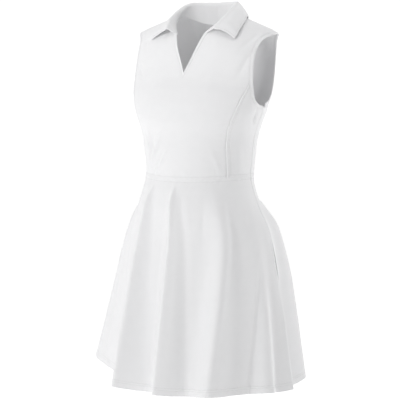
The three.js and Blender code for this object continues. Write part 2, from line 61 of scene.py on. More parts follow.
# %% Smooth functions through short tables
def through(places, values):
    """A smooth function through the values, which never overshoots them."""
    places = np.asarray(places, float)
    values = np.asarray(values, float)
    slope = np.diff(values) / np.diff(places)
    before, after = slope[:-1], slope[1:]
    same_way = before * after > 0
    total = np.where(same_way, before + after, 1)
    inner = np.where(same_way, 2 * before * after / total, 0)
    tangent = np.concatenate([slope[:1], inner, slope[-1:]])

    def curve(x):
        x = np.clip(x, places[0], places[-1])
        i = np.clip(np.searchsorted(places, x, side="right") - 1, 0, len(slope) - 1)
        span = places[i + 1] - places[i]
        t = (x - places[i]) / span
        held = values[i] * (2 * t**3 - 3 * t**2 + 1) + values[i + 1] * (3 * t**2 - 2 * t**3)
        turned = tangent[i] * (t**3 - 2 * t**2 + t) + tangent[i + 1] * (t**3 - t**2)
        return held + turned * span

    return curve


def table(columns, rows):
    """Each column of a table as a smooth function of the first column."""
    names = columns.split()
    listed = dict(zip(names, zip(*rows)))
    return {name: through(listed[names[0]], listed[name]) for name in names[1:]}


def mix(a, b, t):
    return a + (b - a) * t


def clamp01(t):
    return np.clip(t, 0, 1)


def ease(t):
    return clamp01(t) ** 2 * (3 - 2 * clamp01(t))


def bell(t):
    return np.exp(-t * t)


def turn_to(start, end):
    """Degrees from one angle to another, the short way round."""
    return (end - start + 180) % 360 - 180


# %% [markdown]
# The bodice is cut close to the body: two side fronts, a centre front, a back, and a V notch
# under the collar. Its sections run from the waist seam (height 0) to the shoulder seam
# (height 1), in millimetres, with the front towards -Y and the wearer's left towards +X.

# %% Sizes of the bodice
SIDES = ((1, "left"), (-1, "right"))
SEAM_GAP = 0.06
WAIST_Z = -377
WAIST_LIFT = 5
NECK_HALF = 72
SHOULDER_HALF = 187
LEFT_SLOPE, RIGHT_SLOPE = 0.39, 0.33
NOTCH_BOTTOM = 0.638
NOTCH_TOP = 0.874
JUNCTION = 0.63
UNDERARM = 0.455
BAND_WIDTH = 8
BACK_ROUND = 0.9
WRAP_START = 0.76
WRAP_FALL = 2.4
WRAP_ROUND, TIP_ROUND = 0.8, 0.5
TIP_START = 150
TIP_DROP = 3
SIDE = math.pi / 2
BODICE_HIGH = -WAIST_Z

bodice = table("height half_width side_y front back front_round", [
    (0.0, 131, -29, 118, 81, 0.95),
    (0.1, 133, -26, 121, 84, 0.95),
    (0.24, 139, -27, 119, 91, 0.9),
    (0.34, 149, -28, 121, 98, 0.81),
    (0.43, 160, -26, 117.5, 102, 0.71),
    (0.52, 168, -24, 106, 106, 0.63),
    (0.62, 175, -20, 88, 107, 0.6),
    (0.72, 179, -15, 82, 103, 0.61),
    (0.82, 182, -9, 81, 94, 0.7),
    (0.91, 188, -3, 87, 84, 0.8),
    (1.0, 196, 0, 94, 76, 0.8),
])
princess_x = table("height x", [
    (0.0, 109), (0.18, 109), (0.27, 113), (0.35, 122),
    (0.45, 136), (0.52, 144), (0.58, 151), (JUNCTION, 155),
])["x"]
armhole_front_x = table("height x", [
    (JUNCTION, 155), (0.67, 154), (0.77, 152.5), (0.85, 153.5), (0.9, 157),
    (0.94, 163), (0.97, 171), (0.988, 176.5), (1.0, SHOULDER_HALF - BAND_WIDTH),
])["x"]
armhole_back_x = table("height x", [
    (UNDERARM, 165), (0.51, 162), (0.55, 158), (0.62, 154), (0.74, 153),
    (0.86, 157), (0.92, 162), (0.96, 170), (0.985, 176), (1.0, SHOULDER_HALF - BAND_WIDTH),
])["x"]
neck_front_x = table("height x", [
    (NOTCH_BOTTOM, 0), (0.72, 14), (0.8, 27), (NOTCH_TOP, 38),
    (0.905, 48), (0.94, 59), (0.975, 68), (1.0, NECK_HALF),
])["x"]
neck_back_height = table("x height", [
    (0, 0.94), (30, 0.951), (52, 0.97), (65, 0.986), (NECK_HALF, 1.0),
])["height"]
print("bodice:", BODICE_HIGH, "mm high,", 2 * SHOULDER_HALF, "mm from shoulder to shoulder")

# %% [markdown]
# Stretch cloth on a body shows few creases, and they start where it is held: at the waist,
# under the arms and beside the collar. Each row below is one soft ridge, or a trough where
# rise is negative. The unseen sides get the same kind of creases, uneven in length and depth.

# %% Creases in the bodice
SEAM_HOLDS = 0.035
BODICE_CREASES = [
    # angle, height, lean, length, width, rise
    (-62, 0.16, 60, 0.13, 4, 3.2),
    (-50, 0.12, 62, 0.1, 4, 2.2),
    (-78, 0.2, 45, 0.12, 4, 2.2),
    (-37, 0.2, 21, 0.09, 2.4, 4.0),
    (-31.5, 0.19, 60, 0.07, 2.6, -4.0),
    (-27.5, 0.14, 100, 0.09, 2.8, 6.0),
    (-22.5, 0.08, 125, 0.06, 2.4, -4.0),
    (-17, 0.1, 110, 0.07, 2.8, 3.2),
    (70, 0.14, -40, 0.1, 5, 1.6),
    (44, 0.1, -75, 0.07, 3, 1.2),
    (84, 0.4, -25, 0.04, 1.4, -7.0),
    (76, 0.46, -90, 0.05, 4, 1.5),
    (52, 0.73, 52, 0.09, 3.4, -2.6),
    (50, 0.885, 76, 0.06, 2.6, -2.0),
    (53, 0.955, 470, 0.018, 6, 1.4),
    (-50, 0.68, -110, 0.07, 4, -2.0),
    (-47, 0.87, -70, 0.06, 3, -1.8),
    (-36, 0.69, 200, 0.035, 6, -1.5),
    (128, 0.14, 55, 0.11, 5, 2.4),
    (-132, 0.16, -50, 0.12, 5, 2.2),
    (150, 0.1, 40, 0.09, 5, 1.8),
    (-112, 0.12, -35, 0.1, 4, 2.0),
    (140, 0.08, 90, 0.07, 2.2, -2.6),
    (-146, 0.11, -95, 0.08, 2.4, 3.0),
    (-138, 0.07, -110, 0.05, 2, -2.6),
    (104, 0.42, 30, 0.05, 3, -2.4),
    (-101, 0.43, -40, 0.05, 3, -2.2),
    (139, 0.78, -60, 0.09, 4, -2.0),
    (-137, 0.74, 70, 0.08, 4, -2.2),
]


def creases(angle, height):
    """How far the creases lift the cloth, in millimetres: nothing at the waist seam."""
    lift = 0
    for crease_angle, crease_height, lean, length, width, rise in BODICE_CREASES:
        up = height - crease_height
        across = turn_to(crease_angle + lean * up, np.degrees(angle))
        lift = lift + rise * bell(across / width) * bell(up / length)
    return lift * ease(height / SEAM_HOLDS)


print("bodice:", len(BODICE_CREASES), "creases")

# %% [markdown]
# One function now gives any point of the bodice from its angle round the body and its height.
# Towards the shoulder the sections close over the body, and the tips of the shoulders drop.

# %% A point of the bodice
def waist_z(angle):
    return WAIST_Z + WAIST_LIFT * np.sin(angle) ** 2


def bodice_point(angle, height, half):
    """A point of the bodice's outer face: half is -1 for the front and 1 for the back."""
    forward = np.cos(angle)
    x = bodice["half_width"](height) * np.sin(angle)
    front = -bodice["front"](height) * np.abs(forward) ** bodice["front_round"](height)
    back = bodice["back"](height) * np.abs(forward) ** BACK_ROUND
    over = clamp01((height - WRAP_START) / (1 - WRAP_START))
    tip = clamp01((np.abs(x) - TIP_START) / (SHOULDER_HALF - TIP_START))
    wrap = (1 - over**WRAP_FALL) ** mix(WRAP_ROUND, TIP_ROUND, tip)
    y = bodice["side_y"](height) + np.where(half < 0, front, back) * wrap
    slope = np.where(x > 0, LEFT_SLOPE, RIGHT_SLOPE)
    shoulder_z = -np.maximum(np.abs(x) - NECK_HALF, 0) * slope - TIP_DROP * tip**2
    z = mix(waist_z(angle) + SEAM_GAP / 2, shoulder_z, height)
    fold = creases(angle, height)
    return np.stack(np.broadcast_arrays(
        x + fold * np.sin(angle), y + half * SEAM_GAP / 2 - fold * forward, z), -1)


def angle_at(x, height):
    return np.arcsin(clamp01(x / bodice["half_width"](height)))


# %% [markdown]
# The skirt is cut as two wide flared panels, so below the waist it falls in deep rounded
# folds, called flutes. Each row gives one flute: its angle at the waist and at the hem, how
# wide its two flanks are, how far it stands out at the hem, where it starts and how soon it
# deepens. Every point keeps its distance from the waist along the cloth, as real cloth does.

# %% Sizes of the skirt
SKIRT_LENGTH = 484
SKIRT_ROUND = 0.95
skirt = table("down half_width side_y front back", [
    (0.0, 131, -29, 118, 81),
    (0.06, 137, -29, 128, 85),
    (0.15, 152, -30, 134, 98),
    (0.28, 174, -31, 133, 126),
    (0.42, 184, -32, 140, 138),
    (0.6, 191, -34, 149, 147),
    (0.8, 198, -37, 159, 156),
    (1.0, 205, -40, 168, 166),
])
FLUTES = [
    # waist, hem, low, high, rise, start, growth
    (-89, -88, 17, 13, 86, -0.01, 1.1),
    (-31, -21.5, 7, 9, 60, 0.0, 0.95),
    (2, 4, 6, 12, 46, 0.0, 0.95),
    (46, 34, 9, 12, 52, 0.04, 0.95),
    (76, 76, 9, 8, 24, 0.25, 0.95),
    (93, 94, 8, 6, 33, 0.15, 0.95),
    (120, 119, 14, 14, 52, 0.12, 0.58),
    (148, 150, 11, 12, 40, 0.1, 0.95),
    (178, 180, 12, 12, 44, 0.18, 0.95),
    (208, 210, 12, 12, 44, 0.13, 0.95),
    (240, 241, 12, 13, 46, 0.02, 0.95),
]
seam_left = table("down angle", [(0, 90), (0.15, 93), (1, 95)])["angle"]
seam_right = table("down angle", [(0, -90), (0.15, -86), (1, -82)])["angle"]
print("skirt:", SKIRT_LENGTH, "mm long,", len(FLUTES), "flutes")

# %% [markdown]
# Smaller folds lie on the flutes and between them, and keep them from looking alike. Each one
# fades in at its top and out at its foot, given as shares of the way down.

# %% Smaller folds in the skirt
FADE_IN, FADE_OUT, WAIST_HOLDS = 0.2, 0.15, 0.1
SKIRT_CREASES = [
    # waist, hem, low, high, rise, top, foot
    (-80, -78, 1.6, 1.6, -4, 0.4, 1.2),
    (-50, -88, 1.4, 1.4, -3, 0.22, 0.46),
    (-52, -50, 3, 3, 2.5, 0.02, 0.6),
    (-26, -20, 2.4, 2.2, 6, -0.05, 1.2),
    (-20, -13.5, 3, 4, -3, 0.03, 0.95),
    (2, 3.4, 2.2, 2.6, 5, -0.08, 1.2),
    (9.5, 19, 4, 4, -4, 0.0, 1.2),
    (36, 0, 3, 3, -2, 0.06, 0.32),
    (58, 37, 5, 12, -9, 0.06, 1.2),
    (84, 31, 1.4, 1.4, -3, 0.83, 0.98),
    (80, 45, 4, 4, -2, 0.04, 0.32),
    (83, 64, 2.5, 4, -5, 0.36, 1.2),
    (80, 79, 3, 3, 3, 0.5, 1.2),
    (94, 95, 2.2, 1.4, 4, 0.5, 1.2),
    (97, 99, 1.4, 3, -5, 0.45, 1.2),
    (120, 118, 3, 1.8, 3, 0.35, 1.2),
    (130, 131, 2, 3.5, -5, 0.1, 1.2),
    (148, 151, 1.8, 3, 5, 0.04, 1.2),
    (162, 166, 3, 2, -5, 0.05, 0.9),
    (178, 181, 2.2, 2.8, 5, 0.08, 1.2),
    (193, 195, 2.4, 3, -4, 0.03, 0.5),
    (209, 206, 2, 3.2, 5, 0.06, 1.2),
    (198, 222, 1.5, 1.5, -3, 0.84, 0.98),
    (224, 223, 3, 2, -5, 0.05, 1.2),
    (240, 244, 2.6, 1.8, 6, 0.02, 1.2),
    (255, 254, 3, 2.4, -5, 0.08, 1.2),
]
print("skirt:", len(SKIRT_CREASES), "smaller folds")


def flute(angle, down):
    """How far the folds stand out from the skirt's section, in millimetres."""
    degrees = np.degrees(angle)
    out = 0
    for waist, hem, low, high, rise, start, growth in FLUTES:
        across = turn_to(mix(waist, hem, down), degrees)
        grown = clamp01((down - start) / (1 - start)) ** growth
        out = out + rise * grown * bell(across / np.where(across < 0, low, high))
    for waist, hem, low, high, rise, top, foot in SKIRT_CREASES:
        across = turn_to(mix(waist, hem, down), degrees)
        shown = ease((down - top) / FADE_IN) * ease((foot - down) / FADE_OUT)
        out = out + rise * shown * bell(across / np.where(across < 0, low, high))
    return out * ease(down / WAIST_HOLDS)


# %% [markdown]
# A point of the skirt is found from its angle and its share of the way down the cloth. How far
# the folds carry it out is taken off its fall, so the hem rises where a flute stands out. The
# cloth is a little longer beside the left side seam, where the hem hangs lowest.

# %% A point of the skirt
SIDE_DROP, DROP_ANGLE, DROP_SPREAD = 12, 96, 24


def skirt_section(angle, down):
    forward = np.cos(angle)
    depth = np.where(forward > 0, -skirt["front"](down), skirt["back"](down))
    x = skirt["half_width"](down) * np.sin(angle)
    return x, skirt["side_y"](down) + depth * np.abs(forward) ** SKIRT_ROUND


def skirt_point(angle, down):
    """A point of the skirt's outer face."""
    waist_x, waist_y = skirt_section(angle, 0.0)
    x, y = skirt_section(angle, down)
    fold = flute(angle, down)
    x = x + fold * np.sin(angle)
    y = y - fold * np.cos(angle)
    out = np.hypot(x - waist_x, y - waist_y)
    dropped = SIDE_DROP * bell(turn_to(DROP_ANGLE, np.degrees(angle)) / DROP_SPREAD)
    fall = np.sqrt(np.maximum(((SKIRT_LENGTH + dropped) * down) ** 2 - out**2, 0))
    return np.stack(np.broadcast_arrays(x, y, waist_z(angle) - SEAM_GAP / 2 - fall), -1)


# %% [markdown]
# A sewn panel is a grid of points. Seams and stitch lines are only a millimetre or two wide,
# so the grid gets extra columns at set distances from each edge and even ones between. The
# line of a stitch is then one of the grid's own columns, and follows the cloth exactly.

# %% Grids with fine edges
PROBES = 1000
STITCH = 6.0
SECOND_STITCH = 10.0
SEAM_COLUMNS = np.array([0, 0.5, 1.1, 2.0, 3.4, 5.0, STITCH, 7.0, 9.0, SECOND_STITCH, 11.0, 13.0])
STITCH_COLUMN, SECOND_COLUMN = 6, 9
FAR = 1000


def unit(vectors):
    """The same directions, each with length one."""
    return vectors / np.maximum(np.linalg.norm(vectors, axis=-1, keepdims=True), 1e-9)


def cumulative(points, axis):
    """Distances along a line or a grid's columns (axis 0), or along its rows (axis 1)."""
    steps = np.linalg.norm(np.diff(points, axis=axis), axis=-1)
    start = np.zeros_like(np.take(steps, [0], axis=axis))
    return np.concatenate([start, np.cumsum(steps, axis=axis)], axis=axis)


def spread(rows, length, at):
    """Rows of three values along a line, read at other distances along it."""
    return np.stack([np.interp(at, length, rows[:, i]) for i in range(3)], 1)


def placed(at, rows, near, far, middle, squeeze=None):
    """A grid of points from at(across, row), with columns set out in millimetres."""
    probe = np.linspace(0, 1, PROBES)
    length = cumulative(at(probe[None, :], rows[:, None]), 1)
    shares = []
    for row, along in enumerate(length):
        scale = 1 if squeeze is None else squeeze(rows[row])
        start, end = near * scale, along[-1] - far[::-1]
        between = np.linspace(start[-1], end[0], middle + 2)[1:-1]
        shares.append(np.interp(np.concatenate([start, between, end]), along, probe))
    return at(np.array(shares), rows[:, None])


def row_places(length, near_start, near_end, step):
    """Shares of a length, with fine steps at both ends, given in millimetres."""
    start = np.asarray(near_start, float)
    end = length - np.asarray(near_end, float)[::-1]
    count = int((end[0] - start[-1]) / step)
    between = np.linspace(start[-1], end[0], count + 1)[1:-1]
    return np.concatenate([start, between, end]) / length


def normals_of(points):
    """Unit normals of a grid, from its neighbours across and up."""
    return unit(np.cross(np.gradient(points, axis=1), np.gradient(points, axis=0)))


def edge_distances(points):
    """Distances of a grid's points from its left, right, lower and upper edges."""
    across, up = cumulative(points, 1), cumulative(points, 0)
    return across, across[:, -1:] - across, up, up[-1:] - up


# %% [markdown]
# At a seam both edges roll in towards the seam allowance, which leaves a narrow groove. The
# allowance under the cloth lifts it a little as far as the topstitching, and each row of
# stitches pulls its own shallow groove. Real depth catches the light from every side, which
# a bump texture on a flat panel doesn't.

# %% Relief of seams and stitch lines
SEAM_DEPTH, SEAM_SPREAD = 1.0, 1.1
STITCH_DEPTH, STITCH_SPREAD = 0.45, 0.9
ALLOWANCE_LIFT, ALLOWANCE_EDGE = 0.5, 1.5
ARM_SHARE = 0.5
WAIST_SHARE, WAIST_RISE, WAIST_SPREAD = 0.15, 1.3, 4.0
PUCKER_LENGTH, PUCKER_LIFT, PUCKER_REACH = 13.0, 0.16, 14.0
UNEVEN_SHARE, UNEVEN_LENGTH, UNEVEN_START = 0.7, 3.7, 1.3
SEAM_FREE = 3


def seam(distance, share=1.0):
    return -SEAM_DEPTH * share * bell(distance / SEAM_SPREAD)


def stitched(distance, place=STITCH):
    return -STITCH_DEPTH * bell((distance - place) / STITCH_SPREAD)


def allowance(distance, width=STITCH):
    return ALLOWANCE_LIFT * ease((width - distance) / ALLOWANCE_EDGE)


def waist_band(distance):
    """The waist seam: a soft raised band with a shallow groove and a light row of stitches."""
    raised = WAIST_RISE * bell(distance / WAIST_SPREAD)
    return raised + seam(distance, WAIST_SHARE) + WAIST_SHARE * stitched(distance)


def puckers(distance, along):
    """Small uneven waves that the stitching draws into the cloth beside a seam."""
    even = np.sin(2 * math.pi * along / PUCKER_LENGTH)
    wave = even + UNEVEN_SHARE * np.sin(along / UNEVEN_LENGTH + UNEVEN_START)
    beside = bell((distance - STITCH) / PUCKER_REACH) * ease(distance / SEAM_FREE)
    return PUCKER_LIFT * wave * beside


def distance_to(points, line):
    """Distance in millimetres from each grid point to the nearest point of a line."""
    tree = KDTree(len(line))
    for i, place in enumerate(line):
        tree.insert(Vector(place), i)
    tree.balance()
    found = [tree.find(Vector(place))[2] for place in points.reshape(-1, 3)]
    return np.array(found).reshape(points.shape[:-1])


# %% [markdown]
# A piece of cloth may be made of more than one grid. These helpers make a mesh from points,
# weld it where its grids meet and give it a UV map. The map holds real distances along the
# cloth, so the knit has the same size everywhere.

# %% Helpers for meshes
CLOTH_UV = "cloth_metres"


def patch(points, folded=None, side=1, from_middle=False):
    """One grid of a piece. side is -1 where it runs the other way round."""
    across, up = cumulative(points, 1), cumulative(points, 0)
    middle = 0 if from_middle else across[:, -1:] / 2
    place = np.stack([side * (across - middle), up], -1) * MM
    if folded is None:
        folded = np.zeros(points.shape[:2])
    return {"points": points, "folded": folded, "side": side, "place": place}


def only(piece):
    """Makes one object the active and only selected one."""
    bpy.ops.object.select_all(action="DESELECT")
    bpy.context.view_layer.objects.active = piece
    piece.select_set(True)


def mesh_piece(name, points, faces):
    mesh = bpy.data.meshes.new(name)
    mesh.from_pydata(points.tolist(), [], faces)
    piece = bpy.data.objects.new(name, mesh)
    bpy.context.collection.objects.link(piece)
    only(piece)
    return piece


def weld(distance):
    """Merges the points of the active piece that lie closer than the distance, in metres."""
    bpy.ops.object.mode_set(mode="EDIT")
    bpy.ops.mesh.select_all(action="SELECT")
    bpy.ops.mesh.remove_doubles(threshold=distance)
    bpy.ops.object.mode_set(mode="OBJECT")


def set_uv(mesh, place):
    """Gives every corner the place of its point along the cloth, in metres."""
    uv = mesh.uv_layers.new(name=CLOTH_UV)
    corner = np.empty(len(mesh.loops), int)
    mesh.loops.foreach_get("vertex_index", corner)
    uv.data.foreach_set("uv", place[corner].ravel())


# %% [markdown]
# The cloth itself is a thin shell: the outer face from the grid, and Blender's Solidify
# modifier for the thickness. A vertex group makes hems and edges twice as thick, because the
# cloth is folded over there.

# %% From grids to cloth
DOUBLE_CLOTH = 1.8 * MM
SINGLE_SHARE = 0.5
WELD_CLOTH = 0.02 * MM
SMOOTH_ANGLE = math.radians(50)
stitch_lines = {}


def cloth(name, patches):
    """A thin shell from one or more grids of outer points, welded where they meet."""
    points, places, folded, faces, count = [], [], [], [], 0
    for part in patches:
        rows, columns = part["points"].shape[:2]
        number = np.arange(rows * columns).reshape(rows, columns) + count
        corners = [number[:-1, :-1], number[:-1, 1:], number[1:, 1:], number[1:, :-1]]
        faces += np.stack(corners[::part["side"]], -1).reshape(-1, 4).tolist()
        points.append(part["points"].reshape(-1, 3) * MM)
        places.append(part["place"].reshape(-1, 2))
        folded.append(part["folded"].ravel())
        count += rows * columns
    piece = mesh_piece(name, np.concatenate(points), faces)
    set_uv(piece.data, np.concatenate(places))
    group = piece.vertex_groups.new(name="folded")
    group.add(np.flatnonzero(np.concatenate(folded) > 0.5).tolist(), 1.0, "REPLACE")
    if len(patches) > 1:
        weld(WELD_CLOTH)
    shell = piece.modifiers.new("thickness", "SOLIDIFY")
    shell.thickness = DOUBLE_CLOTH
    shell.offset = -1
    shell.vertex_group = "folded"
    shell.thickness_vertex_group = SINGLE_SHARE
    bpy.ops.object.modifier_apply(modifier=shell.name)
    bpy.ops.object.shade_smooth_by_angle(angle=SMOOTH_ANGLE)
    print(name, len(piece.data.polygons), "faces")
    return piece


def keep_line(name, points, normals):
    """Remembers where a row of stitches lies: places on the cloth and its normals there."""
    stitch_lines.setdefault(name, []).append((points, normals))


# %% [markdown]
# The centre front is one panel with a V cut into it. Half of it is made as a grid that runs
# from the middle, or from the notch's edge, out to the princess seam and the armhole. The
# other half has its own creases, and the two are joined in the middle below the V.

# %% Centre front
WAIST_ROWS = [0, 0.5, 1.1, 2.0, 3.4, 5.0, STITCH, 7.0, 9.0]
TOP_ROWS = [0, 0.6, 1.5, 3]
STITCH_ROW = 6
NOTCH_COLUMNS = np.array([0, 0.6, 1.4, 2.6, 4.2, 5.4, STITCH, 6.6, 8.0, 10.5])
FRONT_STEP, FRONT_MIDDLE = 2.6, 66
CLEAR = 0.004
front_rows = row_places(BODICE_HIGH, WAIST_ROWS, TOP_ROWS, FRONT_STEP)
lower_rows = front_rows[front_rows < NOTCH_BOTTOM - CLEAR]
upper_rows = front_rows[front_rows > NOTCH_BOTTOM + CLEAR]
front_rows = np.concatenate([lower_rows, [NOTCH_BOTTOM], upper_rows])
above_notch = front_rows >= NOTCH_BOTTOM


def outline_x(height):
    return np.where(height < JUNCTION, princess_x(height), armhole_front_x(height))


def front_half(side):
    def at(across, height):
        inner = np.where(height <= NOTCH_BOTTOM, 0, neck_front_x(height))
        start = angle_at(inner, height)
        end = angle_at(outline_x(height) - SEAM_GAP / 2, height)
        return bodice_point(side * mix(start, end, across), height, -1)
    return at


print("centre front:", len(front_rows), "rows")

# %% [markdown]
# The V's edge is turned in and topstitched. The stitches lie close to the edge at the foot of
# the V and farther from it at the collar, and they run round the foot in one rounded line.

# %% Stitching of the notch
NOTCH_NARROW, NOTCH_WIDE = 0.75, 1.4
NOTCH_FOOT_DROP, NOTCH_FOOT_ROUND, NOTCH_FOOT_SINK = 13.0, 0.8, 0.3
NOTCH_FOOT_PLACES = 60


def notch_squeeze(height):
    """The notch's topstitching lies nearer the edge towards the foot of the V."""
    share = clamp01((height - NOTCH_BOTTOM) / (NOTCH_TOP - NOTCH_BOTTOM))
    return mix(NOTCH_NARROW, NOTCH_WIDE, share)


def notch_foot_line():
    """The stitching round the foot of the notch, from one side to the other."""
    x = np.linspace(1, -1, NOTCH_FOOT_PLACES) * STITCH * notch_squeeze(NOTCH_BOTTOM)
    drop = NOTCH_FOOT_DROP * (1 - np.abs(x) / x[0]) ** NOTCH_FOOT_ROUND
    height = NOTCH_BOTTOM - drop / BODICE_HIGH
    angle = np.sign(x) * angle_at(np.abs(x), height)
    return bodice_point(angle, height, -1)


# %% [markdown]
# Both halves are laid out, get their relief and are welded into one panel. The points on the
# middle line are set to x = 0 first, so that the two halves share them.

# %% The centre front's cloth
front_grids = {
    side: placed(
        front_half(side), front_rows, NOTCH_COLUMNS, SEAM_COLUMNS, FRONT_MIDDLE, notch_squeeze)
    for side, _ in SIDES
}
foot_line = notch_foot_line()
notch_line = np.concatenate(
    [foot_line] + [grid[above_notch][:, STITCH_COLUMN] for grid in front_grids.values()])
front_patches = []
for side, grid in front_grids.items():
    from_inside, from_outside, from_waist, from_shoulder = edge_distances(grid)
    from_notch = np.where(above_notch[:, None], from_inside, FAR)
    notch_hem = STITCH * notch_squeeze(front_rows)[:, None]
    relief = (
        seam(from_outside, np.where(front_rows < JUNCTION, 1, ARM_SHARE)[:, None])
        + waist_band(from_waist)
        + seam(from_shoulder)
        + allowance(from_notch, notch_hem) + stitched(distance_to(grid, notch_line), 0)
        + puckers(from_outside, from_waist) + puckers(from_waist, from_inside)
    )
    normal = normals_of(grid) * side
    shaped = grid + normal * relief[..., None]
    shaped[front_rows <= NOTCH_BOTTOM, 0, 0] = 0
    beside_notch = above_notch, STITCH_COLUMN
    keep_line("notch_stitches", shaped[beside_notch], normal[beside_notch])
    keep_line("waist_stitches", shaped[STITCH_ROW], normal[STITCH_ROW])
    front_patches.append(patch(shaped, from_notch < notch_hem + 1, side, from_middle=True))
foot_facing = np.broadcast_to(normal[np.argmax(above_notch), 0], foot_line.shape)
keep_line("notch_stitches", foot_line - foot_facing * NOTCH_FOOT_SINK, foot_facing)
front_centre = cloth("front_centre_panel", front_patches)

# %% [markdown]
# The side fronts reach from the princess seams to the side seams, and up to the front foot of
# the armholes. Each is one grid, with two rows of topstitching beside the princess seam, six
# and ten millimetres from it.

# %% Side fronts
ARM_ROWS = [0, 0.5, 1.2, 2.4, 4]
ARM_ROUND = 1.6
SIDE_STEP, SIDE_MIDDLE = 3.2, 28
PLAIN_COLUMNS = SEAM_COLUMNS[:6]
side_rows = row_places(UNDERARM * BODICE_HIGH, WAIST_ROWS, ARM_ROWS, SIDE_STEP)


def armhole_foot(share):
    return mix(UNDERARM, JUNCTION, (1 - share) ** ARM_ROUND)


def side_front(side):
    def at(across, up):
        height = up * armhole_foot(across)
        start = angle_at(princess_x(height) + SEAM_GAP / 2, height)
        return bodice_point(side * mix(start, SIDE, across), height, -1)
    return at


side_panels = {}
for side, word in SIDES:
    grid = placed(side_front(side), side_rows, SEAM_COLUMNS, PLAIN_COLUMNS, SIDE_MIDDLE)
    from_princess, from_side, from_waist, from_arm = edge_distances(grid)
    relief = (
        seam(from_princess) + allowance(from_princess, SECOND_STITCH)
        + stitched(from_princess) + stitched(from_princess, SECOND_STITCH)
        + seam(from_side) + waist_band(from_waist) + seam(from_arm, ARM_SHARE)
        + puckers(from_princess, from_waist) + puckers(from_side, from_waist)
    )
    normal = normals_of(grid) * side
    shaped = grid + normal * relief[..., None]
    for column in (STITCH_COLUMN, SECOND_COLUMN):
        keep_line("princess_stitches", shaped[:, column], normal[:, column])
    keep_line("waist_stitches", shaped[STITCH_ROW], normal[STITCH_ROW])
    side_panels[word] = cloth(f"front_side_{word}_panel", [patch(shaped, side=side)])

# %% [markdown]
# The back is one plain panel from side seam to side seam. Its rows run level up to the neck,
# and there they bend down towards the middle, so that the top row follows the neckline and no
# edge has to be cut.

# %% Back
NECK_FOOT = 0.88
BACK_STEP, BACK_MIDDLE = 3.2, 140
back_rows = row_places(BODICE_HIGH, WAIST_ROWS, TOP_ROWS, BACK_STEP)


def back_outer(height):
    return np.where(height < UNDERARM, SIDE, angle_at(armhole_back_x(height), height))


NECK_SHARE = float(angle_at(NECK_HALF, 1.0) / back_outer(1.0))


def back_at(across, up):
    side = 1 - 2 * across
    share = np.abs(side)
    top_x = bodice["half_width"](1.0) * np.sin(share * back_outer(1.0))
    top = np.where(share < NECK_SHARE, neck_back_height(top_x), 1)
    squeezed = mix(NECK_FOOT, top, (up - NECK_FOOT) / (1 - NECK_FOOT))
    height = np.where(up < NECK_FOOT, up, squeezed)
    angle = math.pi - share * back_outer(height)
    return bodice_point(np.where(side < 0, -1, 1) * angle, height, 1)


grid = placed(back_at, back_rows, SEAM_COLUMNS, SEAM_COLUMNS, BACK_MIDDLE)
from_left, from_right, from_waist, from_top = edge_distances(grid)
from_side = np.minimum(from_left, from_right)
relief = (
    seam(from_side, np.where(back_rows < UNDERARM, 1, ARM_SHARE)[:, None])
    + waist_band(from_waist) + seam(from_top)
    + puckers(from_side, from_waist) + puckers(from_waist, from_left)
)
normal = normals_of(grid)
shaped = grid + normal * relief[..., None]
keep_line("waist_stitches", shaped[STITCH_ROW], normal[STITCH_ROW])
back = cloth("back_panel", [patch(shaped)])

# %% [markdown]
# The edge of an armhole crosses three panels: down the centre front, under the arm along the
# side front, and up the back. It is read from their own functions, so the hem fits them.

# %% Edge of an armhole
DOWN_PLACES, UNDER_PLACES, UP_PLACES = 160, 80, 200
EDGE_STEP = 1e-3


def armhole_edge(side):
    """Places and normals round an armhole: down the front, under the arm, up the back."""
    down = np.linspace(1, JUNCTION, DOWN_PLACES)[:-1]
    under = np.linspace(0, 1, UNDER_PLACES)[:-1]
    up = np.linspace(UNDERARM, 1, UP_PLACES)
    foot = armhole_foot(under)
    angle = np.concatenate([
        angle_at(armhole_front_x(down), down),
        mix(angle_at(princess_x(foot), foot), SIDE, under),
        math.pi - back_outer(up),
    ])
    height = np.concatenate([down, foot, up])
    half = np.concatenate([np.full(len(down) + len(under), -1), np.full(len(up), 1)])
    angle = side * angle
    along = (bodice_point(angle + EDGE_STEP, height, half)
             - bodice_point(angle - EDGE_STEP, height, half))
    rise = (bodice_point(angle, np.minimum(height + EDGE_STEP, 1), half)
            - bodice_point(angle, height - EDGE_STEP, half))
    return bodice_point(angle, height, half), unit(np.cross(along, rise))


def closed(loop):
    return np.vstack([loop, loop[:1]])


def evened(loop, other, count):
    """A closed loop and its companion values at even distances."""
    length = cumulative(closed(loop), 0)
    at = np.linspace(0, length[-1], count + 1)[:-1]
    return spread(closed(loop), length, at), spread(closed(other), length, at)


def smoothed(loop, times):
    for _ in range(times):
        loop = (np.roll(loop, 1, 0) + 2 * loop + np.roll(loop, -1, 0)) / 4
    return loop


# %% [markdown]
# Each armhole ends in a hem: the cloth is turned in and stitched near the panels' edge. A
# rounded strip, eight millimetres wide and swept once round the armhole, gives that turned
# edge its soft lip. A curve with a bevel would do it too, but it twists where the edge turns.

# %% Armhole hems
BAND_PLACES, BAND_STEP = 260, 1.7 * MM
BAND_SMOOTHING, FACING_SMOOTHING = 6, 18
BAND_OVERLAP = 0.2
BAND_WAVE, BAND_WAVES = 0.12, 37
HALF_THICK, TURN_LIFT, TURN_START = 1.1, 1.25, 0.25
LIP_REACH = 0.9


def band_section():
    """Reach and lift of the hem's section, once round."""
    face = [(0.2, -0.7), (0.8, 0.0), (2.0, 0.35), (4.5, 0.45), (6.6, 0.3)]
    turn = [
        (BAND_WIDTH - HALF_THICK + HALF_THICK * math.sin(a), -HALF_THICK + TURN_LIFT * math.cos(a))
        for a in np.linspace(TURN_START, math.pi - TURN_START, 6)
    ]
    inside = [(6.4, -2.3), (4.0, -2.3), (1.6, -2.2), (0.2, -1.9)]
    return np.array(face + turn + inside)


